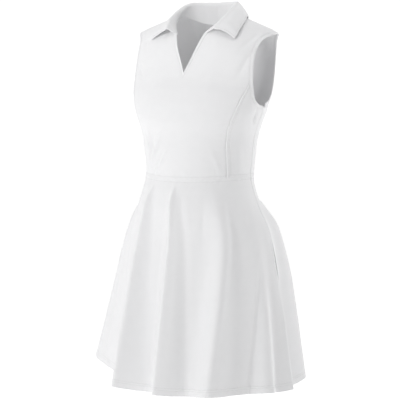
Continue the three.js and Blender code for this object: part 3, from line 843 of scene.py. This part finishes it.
bands = {}
for side, word in SIDES:
    edge, facing = evened(*armhole_edge(side), BAND_PLACES)
    facing = unit(smoothed(facing, FACING_SMOOTHING))
    edge = smoothed(edge, BAND_SMOOTHING)
    tangent = np.roll(edge, -1, 0) - np.roll(edge, 1, 0)
    outwards = unit(np.cross(tangent, facing) * -side)
    wave = BAND_WAVE * np.sin(np.arange(BAND_PLACES) * 2 * math.pi * BAND_WAVES / BAND_PLACES)
    ring = [
        edge + outwards * (reach - BAND_OVERLAP) + facing * (lift + wave * (0 < lift))[:, None]
        for reach, lift in band_section()
    ]
    points = np.stack(ring, 1)
    number = np.arange(points[..., 0].size).reshape(points.shape[:2])
    next_row, next_column = np.roll(number, -1, 0), np.roll(number, -1, 1)
    corners = np.stack([number, next_column, np.roll(next_row, -1, 1), next_row], -1)
    faces = corners.reshape(-1, 4).tolist()
    band = mesh_piece(f"armhole_hem_{word}", points.reshape(-1, 3) * MM, faces)
    along = np.arange(BAND_PLACES)[:, None] * BAND_STEP + np.zeros(points.shape[:2])
    reach = cumulative(points, 1) * MM
    set_uv(band.data, np.stack([reach, along], -1).reshape(-1, 2))
    bpy.ops.object.mode_set(mode="EDIT")
    bpy.ops.mesh.select_all(action="SELECT")
    bpy.ops.mesh.normals_make_consistent(inside=False)
    bpy.ops.object.mode_set(mode="OBJECT")
    bpy.ops.object.shade_smooth()
    keep_line("armhole_stitches", closed(edge + outwards * LIP_REACH), closed(facing))
    bands[word] = band
    print(band.name, len(band.data.polygons), "faces")

# %% [markdown]
# The collar is one doubled piece. It rises from the neckline as a stand, turns over at the
# fold and falls as two leaves. For each place round the neck a smooth curve runs through the
# foot, the fold and the leaf's edge, and the sheet is these curves side by side.

# %% Collar: fold and edge
NECK_TURN = 0.45
collar_table = table(
    "share fold_x fold_y fold_z edge_x edge_y edge_z bulge right_x right_y right_in", [
        (0.0, 0, 50, 25, 0, 66, -32, 4, 0, 50, 0),
        (0.2, 35, 46, 26.5, 45, 61, -30, 4, 35, 46, 3),
        (0.38, 60, 32, 26, 80, 40, -22, 4, 60, 32, 7),
        (0.52, 70, 12, 20, 102, 8, -8, 3, 69, 10, 12),
        (0.68, 72, -17, 7, 113, -27, -24, 4, 69, -21, 16),
        (0.84, 73, -47, -12, 117, -58, -45, 5, 66, -56, 12),
        (0.92, 71, -64, -23, 116, -64, -53, 6, 62, -71, 6),
        (1.0, 64, -80, -37, 112, -69, -62, 5, 58, -86, 0),
    ])


def neckline(share):
    """The bodice's neck edge, from the centre back round to the notch."""
    x = NECK_HALF * clamp01(share / NECK_TURN)
    back_height = neck_back_height(x)
    behind = bodice_point(math.pi - angle_at(x, back_height), back_height, 1)
    height = mix(1, NOTCH_TOP, clamp01((share - NECK_TURN) / (1 - NECK_TURN)))
    ahead = bodice_point(angle_at(neck_front_x(height), height), height, -1)
    return np.where((share < NECK_TURN)[..., None], behind, ahead)


# %% [markdown]
# A centripetal curve passes through its points without loops or overshoot, even where they lie
# close together as at the fold. The leaf bows out between the fold and its edge, because the
# doubled cloth is stiff; the wearer's right leaf lies flatter than the left one.

# %% Collar: the curve over the fold
COLLAR_THICK, COLLAR_SEAM_GAP, COLLAR_TUCK = 2.0, 0.5, 4
COLLAR_ROLL, END_ROLL_SHARE, ROLL_DROP = 3.5, 0.7, 0.8
NECK_PULL = 0.6
RIGHT_LEAF_BOW = 0.25
LEAF_SHARES = (0.3, 0.6, 0.85)
BOW_ROUND, BOW_OUT, BOW_UP = 0.8, 0.6, 0.8


def smooth_curve(keys, t):
    """Points at the share t of a centripetal Catmull-Rom curve through rows of key points."""
    before = 2 * keys[:, :1] - keys[:, 1:2]
    after = 2 * keys[:, -1:] - keys[:, -2:-1]
    every = np.concatenate([before, keys, after], 1)
    place = t * (keys.shape[1] - 1)
    i = np.minimum(place.astype(int), keys.shape[1] - 2)
    weight = (place - i)[..., None]
    row = np.arange(len(keys))[:, None]
    p0, p1, p2, p3 = (every[row, i + k] for k in range(4))
    span = lambda a, b: np.maximum(np.linalg.norm(b - a, axis=-1, keepdims=True) ** 0.5, 1e-4)
    d0, d1, d2 = span(p0, p1), span(p1, p2), span(p2, p3)
    m1 = ((p1 - p0) / d0 - (p2 - p0) / (d0 + d1) + (p2 - p1) / d1) * d1
    m2 = ((p2 - p1) / d1 - (p3 - p1) / (d1 + d2) + (p3 - p2) / d2) * d1
    w, w2, w3 = weight, weight**2, weight**3
    return (
        p1 * (2 * w3 - 3 * w2 + 1) + m1 * (w3 - 2 * w2 + w)
        + p2 * (3 * w2 - 2 * w3) + m2 * (w3 - w2)
    )


def collar_keys(side, share):
    """For each place round the neck, the points that the collar's curve runs through."""
    neck = neckline(share)
    value = {name: column(share) for name, column in collar_table.items()}
    right = side < 0
    fold_x = np.where(right, value["right_x"], value["fold_x"])
    fold_y = np.where(right, value["right_y"], value["fold_y"])
    fold = np.stack([fold_x, fold_y, value["fold_z"]], -1)
    edge = np.stack([value["edge_x"], value["edge_y"], value["edge_z"]], -1)
    edge[:, 0] -= np.where(right, value["right_in"], 0)
    bulge = value["bulge"] * np.where(right, RIGHT_LEAF_BOW, 1)
    out = unit((edge - neck * NECK_PULL) * [1, 1, 0])
    up = np.array([0, 0, 1])
    foot = neck - out * (COLLAR_THICK + COLLAR_SEAM_GAP) - up * COLLAR_TUCK
    roll = (COLLAR_ROLL * mix(1, END_ROLL_SHARE, share))[:, None]
    inner = fold - out * roll - up * roll * ROLL_DROP
    outer = fold + out * roll - up * roll * ROLL_DROP

    def leaf(t):
        bow = (bulge * math.sin(math.pi * t) ** BOW_ROUND)[:, None]
        return mix(outer, edge, t) + out * bow * BOW_OUT + up * bow * BOW_UP

    stand = [foot, mix(foot, inner, 0.5), inner]
    keys = np.stack([*stand, fold, outer, *map(leaf, LEAF_SHARES), edge], 1)
    keys[..., 0] *= side[:, None]
    return keys


def collar_at(up, across):
    side_share = 1 - 2 * across[:, 0]
    keys = collar_keys(np.where(side_share < 0, -1.0, 1.0), np.abs(side_share))
    return smooth_curve(keys, np.broadcast_to(up, (len(across), up.shape[-1])))


# %% [markdown]
# The sheet is topstitched all round the leaf, near its edge, but not on the stand. The relief
# therefore starts where a place is nearer to the leaf's edge than to the neck seam.

# %% Collar: the sheet
COLLAR_LENGTH, COLLAR_STEP, COLLAR_MIDDLE = 480, 3.6, 40
COLLAR_STITCH = 5.5
LEAF_SHARE, LEAF_FADE = 0.75, 8
COLLAR_LIFT_SHARE, RIM_DROP, RIM_SPREAD = 0.6, 0.9, 0.9
END_ROWS = [0, 0.5, 1.2, 2.5, 4.3, 5.0, COLLAR_STITCH, 6.2, 7.6]
END_STITCH_ROW = 6
collar_rows = row_places(COLLAR_LENGTH, END_ROWS, END_ROWS, COLLAR_STEP)
EDGE_COLUMNS = np.array(END_ROWS)
grid = placed(collar_at, collar_rows, EDGE_COLUMNS, EDGE_COLUMNS, COLLAR_MIDDLE)
normal = normals_of(grid)
grid = grid + normal * COLLAR_THICK
from_foot, from_edge, from_left, from_right = edge_distances(grid)
from_border = np.minimum(from_edge, np.minimum(from_left, from_right))
on_leaf = ease((from_foot - from_edge * LEAF_SHARE) / LEAF_FADE) > 0.5
from_rim = np.where(on_leaf, from_border, FAR)
relief = (
    stitched(from_rim, COLLAR_STITCH) + allowance(from_rim, COLLAR_STITCH) * COLLAR_LIFT_SHARE
    - RIM_DROP * bell(from_border / RIM_SPREAD)
)
shaped = grid + normal * relief[..., None]
along_edge = slice(END_STITCH_ROW, -END_STITCH_ROW), -1 - END_STITCH_ROW
keep_line("collar_stitches", shaped[along_edge], normal[along_edge])
for row in (END_STITCH_ROW, len(collar_rows) - 1 - END_STITCH_ROW):
    sewn = on_leaf[row].copy()
    sewn[-END_STITCH_ROW:] = False
    keep_line("collar_stitches", shaped[row, sewn], normal[row, sewn])
collar = cloth("collar_sheet", [patch(shaped, np.ones(shaped.shape[:2]))])

# %% [markdown]
# The skirt's two panels meet at the side seams, which part a little at the pocket mouths. Its
# hem is turned up and held by two rows of stitches, twelve and seventeen millimetres from the
# edge.

# %% Skirt
MOUTH_TOP, MOUTH_BOTTOM, MOUTH_PART = 0.26, 0.5, 3.5
MOUTH_SEWN = 0.3
HEM_STITCHES = (12.0, 17.0)
HEM_LIFT_SHARE, HEM_EDGE = 0.6, 1.5
HEM_ROWS = [0, 0.6, 1.5, 3, 6, 9, 11, 12, 13, 14.5, 16, 17, 18, 20, 23]
HEM_STITCH_ROWS = (7, 11)
SKIRT_STEP, FRONT_PANEL_MIDDLE, BACK_PANEL_MIDDLE = 5.5, 290, 260
skirt_rows = row_places(SKIRT_LENGTH, HEM_ROWS, WAIST_ROWS, SKIRT_STEP)
WAIST_STITCH_ROW = len(skirt_rows) - 1 - STITCH_ROW
SIDE_COLUMNS = SEAM_COLUMNS[:8]


def mouth_part(down):
    """How far each panel draws back from the side seam at the pocket mouth."""
    share = clamp01((down - MOUTH_TOP) / (MOUTH_BOTTOM - MOUTH_TOP))
    return np.sin(math.pi * share**2) * MOUTH_PART


def skirt_panel(start, end):
    def at(across, up):
        down = 1 - up
        clear = np.degrees((SEAM_GAP / 2 + mouth_part(down)) / skirt["half_width"](down))
        degrees = mix(start(down) + clear, end(down) - clear, across)
        return skirt_point(np.radians(degrees), down)
    return at


def make_skirt(name, start, end, middle, sewn_mouths=()):
    """One panel between two seams; sewn_mouths are its columns with pocket stitches."""
    grid = placed(skirt_panel(start, end), skirt_rows, SIDE_COLUMNS, SIDE_COLUMNS, middle)
    from_start, from_end, from_hem, from_waist = edge_distances(grid)
    from_side = np.minimum(from_start, from_end)
    down = (1 - skirt_rows)[:, None]
    mouth = ease(mouth_part(down))
    relief = (
        seam(from_side) * (1 - mouth) + stitched(from_side) * mouth
        + waist_band(from_waist)
        + allowance(from_hem, HEM_STITCHES[1]) * HEM_LIFT_SHARE
        + sum(stitched(from_hem, place) for place in HEM_STITCHES)
        + puckers(from_side, from_waist) + puckers(from_waist, from_start)
        + puckers(from_hem, from_start)
    )
    normal = normals_of(grid)
    shaped = grid + normal * relief[..., None]
    for row in HEM_STITCH_ROWS:
        keep_line("hem_stitches", shaped[row], normal[row])
    keep_line("waist_stitches", shaped[WAIST_STITCH_ROW], normal[WAIST_STITCH_ROW])
    at_mouth = mouth[:, 0] > MOUTH_SEWN
    for column in sewn_mouths:
        keep_line("pocket_stitches", shaped[at_mouth, column], normal[at_mouth, column])
    hemmed = np.broadcast_to(from_hem < HEM_STITCHES[1] + HEM_EDGE, grid.shape[:2])
    return cloth(name, [patch(shaped, hemmed)])


def seam_right_again(down):
    """The right seam once more, counted on from the left seam round the back."""
    return seam_right(down) + 360


skirt_front = make_skirt("skirt_front_panel", seam_right, seam_left, FRONT_PANEL_MIDDLE,
                         sewn_mouths=(STITCH_COLUMN, -1 - STITCH_COLUMN))
skirt_back = make_skirt("skirt_back_panel", seam_left, seam_right_again, BACK_PANEL_MIDDLE)

# %% [markdown]
# The pocket bags hang inside the side seams, so only their mouths show. A copy of each
# solid bag, welded and subdivided, is smooth enough for that.

# %% Pocket bags
POCKET_CENTRE = 0.031
POCKET_TUCK = 7 * MM
POCKET_CLEAR_ANGLE = 16
WELD_BAG = 0.01 * MM
pockets = {}
for _, word in SIDES:
    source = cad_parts[f"pocket_{word}"]
    bag = bpy.data.objects.new(f"pocket_bag_{word}", source.data.copy())
    bpy.context.collection.objects.link(bag)
    only(bag)
    weld(WELD_BAG)
    finer = bag.modifiers.new("finer", "SUBSURF")
    finer.levels = finer.render_levels = 2
    bpy.ops.object.modifier_apply(modifier=finer.name)
    bpy.ops.object.shade_smooth_by_angle(angle=SMOOTH_ANGLE)
    for vertex in bag.data.vertices:
        out = Vector((vertex.co.x, vertex.co.y + POCKET_CENTRE, 0))
        from_seam = abs(math.degrees(math.atan2(out.y, abs(out.x))))
        vertex.co -= out.normalized() * POCKET_TUCK * float(ease(from_seam / POCKET_CLEAR_ANGLE))
    across = np.array([[v.co.y, v.co.z] for v in bag.data.vertices])
    for layer in list(bag.data.uv_layers):
        bag.data.uv_layers.remove(layer)
    set_uv(bag.data, across)
    pockets[word] = bag
    print(bag.name, len(bag.data.polygons), "faces")

# %% [markdown]
# One stitch is a small rounded thread, shaped once from a sphere with few faces. It is set
# down thousands of times, turned to follow the seam and the cloth, and joined into one mesh
# for each kind of seam.

# %% One stitch
STITCH_PITCH = 3.2
STITCH_SIZE = (2.4, 0.62, 0.5)
STITCH_REACH, STITCH_RISE = 0.8, 0.12

bpy.ops.object.select_all(action="DESELECT")
bpy.ops.mesh.primitive_uv_sphere_add(segments=6, ring_count=4, radius=0.5)
one_stitch = bpy.context.object
bpy.ops.object.mode_set(mode="EDIT")
bpy.ops.mesh.select_all(action="SELECT")
bpy.ops.transform.rotate(value=math.pi / 2, orient_axis="Y", center_override=(0, 0, 0))
bpy.ops.transform.resize(value=STITCH_SIZE, center_override=(0, 0, 0))
bpy.ops.object.mode_set(mode="OBJECT")
stitch_points = np.array([v.co[:] for v in one_stitch.data.vertices])
stitch_faces = [list(face.vertices) for face in one_stitch.data.polygons]
bpy.data.objects.remove(one_stitch)
print("one stitch:", len(stitch_faces), "faces")

# %% [markdown]
# Every line that the panels kept is now sewn. Even spaces along the cloth, and the direction
# and the normal there, set each stitch down as a needle would.

# %% Rows of stitches
def along_line(points, normals):
    """Places, directions and normals of the stitches along one line."""
    length = cumulative(points, 0)
    count = max(int(length[-1] / STITCH_PITCH), 2)
    at = (np.arange(count) + 0.5) * length[-1] / count
    ahead = spread(points, length, at + STITCH_REACH) - spread(points, length, at - STITCH_REACH)
    return spread(points, length, at), unit(ahead), unit(spread(normals, length, at))


def sew(name, rows):
    """One mesh of all the stitches of these lines."""
    places, ahead, up = (np.concatenate(part) for part in zip(*(along_line(*row) for row in rows)))
    sideways = np.cross(up, ahead)
    turned = (
        stitch_points[None, :, :1] * ahead[:, None]
        + stitch_points[None, :, 1:2] * sideways[:, None]
        + (stitch_points[None, :, 2:] + STITCH_RISE) * up[:, None]
    )
    points = (places[:, None] + turned).reshape(-1, 3) * MM
    step = len(stitch_points)
    faces = [[v + i * step for v in face] for i in range(len(places)) for face in stitch_faces]
    piece = mesh_piece(name, points, faces)
    bpy.ops.object.shade_smooth()
    print(name, len(places), "stitches")
    return piece


threads = {name: sew(name, rows) for name, rows in stitch_lines.items()}

# %% [markdown]
# The cloth is a matt white knit. Its look comes from three things: very small knitted loops,
# which only blur the light, a soft sheen at grazing angles, and slight unevenness. The knit
# is a node group that reads the distances in the UV map, so its loops keep their real size.

# %% Knit node group
def knit_group():
    group = bpy.data.node_groups.new("knit", "ShaderNodeTree")
    face = group.interface
    face.new_socket("Place", in_out="INPUT", socket_type="NodeSocketVector")
    face.new_socket("Loops per metre", in_out="INPUT", socket_type="NodeSocketFloat")
    face.new_socket("Height", in_out="OUTPUT", socket_type="NodeSocketFloat")
    face.new_socket("Shade", in_out="OUTPUT", socket_type="NodeSocketFloat")
    nodes, links = group.nodes, group.links
    entry = nodes.new("NodeGroupInput")
    leave = nodes.new("NodeGroupOutput")

    def math_node(operation, first, second=None):
        node = nodes.new("ShaderNodeMath")
        node.operation = operation
        for socket, value in zip(node.inputs, (first, second)):
            if isinstance(value, (int, float)):
                socket.default_value = value
            elif value is not None:
                links.new(value, socket)
        return node.outputs[0]

    split = nodes.new("ShaderNodeSeparateXYZ")
    links.new(entry.outputs["Place"], split.inputs[0])
    wale = math_node("MULTIPLY", split.outputs[0], entry.outputs["Loops per metre"])
    course = math_node("MULTIPLY", split.outputs[1], entry.outputs["Loops per metre"])
    slant = math_node("PINGPONG", wale, 0.5)
    rib = math_node("SINE", math_node("MULTIPLY", slant, 2 * math.pi))
    loop_place = math_node("MULTIPLY", math_node("ADD", course, slant), 2 * math.pi)
    loop = math_node("SINE", loop_place)
    height = math_node("ADD", math_node("MULTIPLY", rib, 0.6), math_node("MULTIPLY", loop, 0.4))
    noise = nodes.new("ShaderNodeTexNoise")
    noise.inputs["Scale"].default_value = 55
    noise.inputs["Detail"].default_value = 2
    links.new(entry.outputs["Place"], noise.inputs["Vector"])
    links.new(height, leave.inputs["Height"])
    links.new(noise.outputs["Fac"], leave.inputs["Shade"])
    return group


knit = knit_group()
print("knit group:", len(knit.nodes), "nodes")

# %% [markdown]
# Each cloth has the knit in a material of its own. The shade moves its colour between two
# whites that are nearly alike, and the height goes to a weak bump, because the loops are far
# too small to model. The pocket bags are of a thinner, slightly greyer knit.

# %% Cloth materials
BUMP_METRES = 0.0002


def new_material(name, values):
    """A material whose Principled shader has the given values."""
    material = bpy.data.materials.new(name)
    material.use_nodes = True
    for socket, value in values.items():
        material.node_tree.nodes["Principled BSDF"].inputs[socket].default_value = value
    return material


def two_tones(material, factor, dark, light):
    """Colours a material between dark and light by a factor that varies over the surface."""
    nodes, links = material.node_tree.nodes, material.node_tree.links
    colour = nodes.new("ShaderNodeMix")
    colour.data_type = "RGBA"
    colour.inputs["A"].default_value = (*dark, 1)
    colour.inputs["B"].default_value = (*light, 1)
    links.new(factor, colour.inputs["Factor"])
    links.new(colour.outputs["Result"], nodes["Principled BSDF"].inputs["Base Color"])


def cloth_material(name, light, dark, loops, depth):
    """Matt knit: light and dark are the two ends of its slight unevenness."""
    material = new_material(name, {
        "Roughness": 0.82, "Specular IOR Level": 0.25,
        "Sheen Weight": 0.25, "Sheen Roughness": 0.5,
    })
    nodes, links = material.node_tree.nodes, material.node_tree.links
    uv = nodes.new("ShaderNodeUVMap")
    uv.uv_map = CLOTH_UV
    pattern = nodes.new("ShaderNodeGroup")
    pattern.node_tree = knit
    pattern.inputs["Loops per metre"].default_value = loops
    links.new(uv.outputs[0], pattern.inputs["Place"])
    two_tones(material, pattern.outputs["Shade"], dark, light)
    bump = nodes.new("ShaderNodeBump")
    bump.inputs["Strength"].default_value = depth
    bump.inputs["Distance"].default_value = BUMP_METRES
    links.new(pattern.outputs["Height"], bump.inputs["Height"])
    links.new(bump.outputs["Normal"], nodes["Principled BSDF"].inputs["Normal"])
    print("material:", material.name)
    return material


shell_knit = cloth_material("white_knit", (0.885, 0.885, 0.892), (0.86, 0.86, 0.87), 1100, 0.35)
pocket_knit = cloth_material("pocket_knit", (0.85, 0.85, 0.86), (0.82, 0.82, 0.83), 900, 0.3)

# %% [markdown]
# The sewing thread is white too, but smoother and a little darker than the cloth, so a row of
# stitches shows as a fine broken line. A fine noise stands for the twist of its strands.

# %% Thread
thread = new_material("white_thread", {"Roughness": 0.6, "Sheen Weight": 0.2})
thread_nodes, thread_links = thread.node_tree.nodes, thread.node_tree.links
twist = thread_nodes.new("ShaderNodeTexNoise")
twist.inputs["Scale"].default_value = 1500
thread_place = thread_nodes.new("ShaderNodeTexCoord")
thread_links.new(thread_place.outputs["Object"], twist.inputs["Vector"])
two_tones(thread, twist.outputs["Fac"], (0.66, 0.66, 0.67), (0.78, 0.78, 0.79))
print("material:", thread.name)

# %% [markdown]
# Every piece rides on the dress's one body and stands for its solid. The cut sizes of the
# sheets are the flat panels that a cutter would lay out, in metres.

# %% What each piece is
SHEETS = [
    # piece, node, flat width, flat length, flat area, held, rests on
    (front_centre, "front_centre", 0.37, 0.4, 0.112, "hung", ["collar_sheet"]),
    (side_panels["left"], "front_side_left", 0.1, 0.24, 0.0152, "hung", ["front_centre_panel"]),
    (side_panels["right"], "front_side_right", 0.1, 0.24, 0.0152, "hung", ["front_centre_panel"]),
    (back, "back_bodice", 0.42, 0.41, 0.139, "hung", ["collar_sheet"]),
    (bands["left"], "armhole_band_left", 0.012, 0.45, 0.0043, "stretched", ["back_panel"]),
    (bands["right"], "armhole_band_right", 0.012, 0.45, 0.0044, "stretched", ["back_panel"]),
    (collar, "collar", 0.48, 0.1, 0.0352, "folded", ["front_centre_panel", "back_panel"]),
    (skirt_front, "skirt_front", 0.95, 0.49, 0.302, "hung", ["front_centre_panel"]),
    (skirt_back, "skirt_back", 0.95, 0.49, 0.306, "hung", ["back_panel"]),
    (pockets["left"], "pocket_left", 0.32, 0.16, 0.0315, "hung", ["skirt_front_panel"]),
    (pockets["right"], "pocket_right", 0.32, 0.16, 0.034, "hung", ["skirt_front_panel"]),
]
for piece, node, width, length, area, held, rests_on in SHEETS:
    piece.data.materials.clear()
    piece.data.materials.append(pocket_knit if node.startswith("pocket") else shell_knit)
    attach(piece, "root")
    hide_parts(node)
    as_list(rests_on)
for piece in threads.values():
    piece.data.materials.append(thread)
    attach(piece, "root")
print(len(SHEETS), "sheets and", len(threads), "kinds of stitching")

# %% [markdown]
# The dress hangs in the air as it would on its wearer, so the floor lies well below it. It is
# as pale as the room's wall, which keeps the setting plain. It glows a little, because a floor
# lit only by the room would look grey below a white wall.

# %% Floor
FLOOR_Z = -1.42
FLOOR_SIZE = 40
FLOOR_GLOW = 0.5

bpy.ops.object.select_all(action="DESELECT")
bpy.ops.mesh.primitive_plane_add(size=FLOOR_SIZE, location=(0, 0, FLOOR_Z))
bpy.ops.object.transform_apply(location=True, rotation=True, scale=True)
floor = bpy.context.object
floor.name = "floor"
pale_floor = new_material("pale_floor", {
    "Base Color": (0.9, 0.9, 0.9, 1), "Roughness": 0.9, "Specular IOR Level": 0.1,
    "Emission Color": (1, 1, 1, 1), "Emission Strength": FLOOR_GLOW,
})
floor.data.materials.append(pale_floor)
print("floor:", -FLOOR_Z, "m below the shoulders")

# %% [markdown]
# White cloth on white shows only by its shading, so the room must look white and still shade
# the cloth. Light Path tells what the camera sees from what lights the dress: the walls look
# white from every side, and the light they give is weaker, and weakest at the dress's left.

# %% Room light
WALL_LIGHT, ROOM_LIGHT, DARK_SHARE = 1.1, 0.69, 0.85
DARK_AZIMUTH, DARK_STARTS, DARK_FULL = 70, 0.2, 0.9


def toward(azimuth):
    """A level direction; azimuth 0 degrees is in front of the dress and grows to its left."""
    turn = math.radians(azimuth)
    return Vector((math.sin(turn), -math.cos(turn), 0))


world = bpy.data.worlds.new("soft_room")
world.use_nodes = True
world_nodes, world_links = world.node_tree.nodes, world.node_tree.links
looking = world_nodes.new("ShaderNodeTexCoord")
agreeing = world_nodes.new("ShaderNodeVectorMath")
agreeing.operation = "DOT_PRODUCT"
agreeing.inputs[1].default_value = toward(DARK_AZIMUTH)
world_links.new(looking.outputs["Generated"], agreeing.inputs[0])
given = world_nodes.new("ShaderNodeMapRange")
given.interpolation_type = "SMOOTHSTEP"
given.inputs["From Min"].default_value = DARK_STARTS
given.inputs["From Max"].default_value = DARK_FULL
given.inputs["To Min"].default_value = ROOM_LIGHT
given.inputs["To Max"].default_value = ROOM_LIGHT * (1 - DARK_SHARE)
world_links.new(agreeing.outputs["Value"], given.inputs["Value"])
seen = world_nodes.new("ShaderNodeLightPath")
room = world_nodes.new("ShaderNodeMix")
room.data_type = "FLOAT"
room.inputs["B"].default_value = WALL_LIGHT
world_links.new(seen.outputs["Is Camera Ray"], room.inputs["Factor"])
world_links.new(given.outputs["Result"], room.inputs["A"])
world_links.new(room.outputs["Result"], world_nodes["Background"].inputs["Strength"])
world_nodes["Background"].inputs["Color"].default_value = (1, 1, 1, 1)
bpy.context.scene.world = world
print("room light:", ROOM_LIGHT, "behind white walls of", WALL_LIGHT)

# %% [markdown]
# Four soft area lamps model the folds. The strongest two stand in front and behind at the left,
# so a fold has one bright flank and a shaded one, and the edge at the back doesn't go grey.

# %% Lamps
CHEST = Vector((0, 0, -0.35))


def lamp(name, azimuth, height, distance, size, power):
    """An area light that stands at an azimuth round the dress and is aimed at its chest."""
    data = bpy.data.lights.new(name, "AREA")
    data.size = size
    data.energy = power
    piece = bpy.data.objects.new(name, data)
    piece.location = toward(azimuth) * distance + Vector((0, 0, height))
    piece.rotation_euler = (CHEST - piece.location).to_track_quat("-Z", "Y").to_euler()
    bpy.context.collection.objects.link(piece)
    print(name, power, "W")


lamp("front_lamp", -22, 1.3, 3.0, 0.9, 23)
lamp("top_lamp", 60, 1.9, 0.9, 1.0, 10)
lamp("near_side_lamp", -110, 0.6, 3.0, 1.0, 3)
lamp("far_side_lamp", 145, 0.6, 2.8, 1.0, 24)

# %% [markdown]
# The camera looks from the wearer's front left, as the photograph does: 32 degrees round the
# dress, three metres away and a little above its middle. The long lens keeps the sides nearly
# parallel. The Standard view leaves white cloth white, where the default would dull it.

# %% Camera
CAMERA_AZIMUTH, CAMERA_DISTANCE, CAMERA_Z = 32, 3.0, -0.135
LENS_MM, SENSOR_MM = 116.1, 36
AIM = Vector((0, -0.035, -0.433))
camera_data = bpy.data.cameras.new("camera")
camera_data.lens = LENS_MM
camera_data.sensor_width = SENSOR_MM
camera = bpy.data.objects.new("camera", camera_data)
camera.location = AIM + toward(CAMERA_AZIMUTH) * CAMERA_DISTANCE
camera.location.z = CAMERA_Z
camera.rotation_euler = (AIM - camera.location).to_track_quat("-Z", "Y").to_euler()
bpy.context.collection.objects.link(camera)
bpy.context.scene.camera = camera
bpy.context.scene.view_settings.view_transform = "Standard"
print("camera:", LENS_MM, "mm lens,", CAMERA_DISTANCE, "m away")
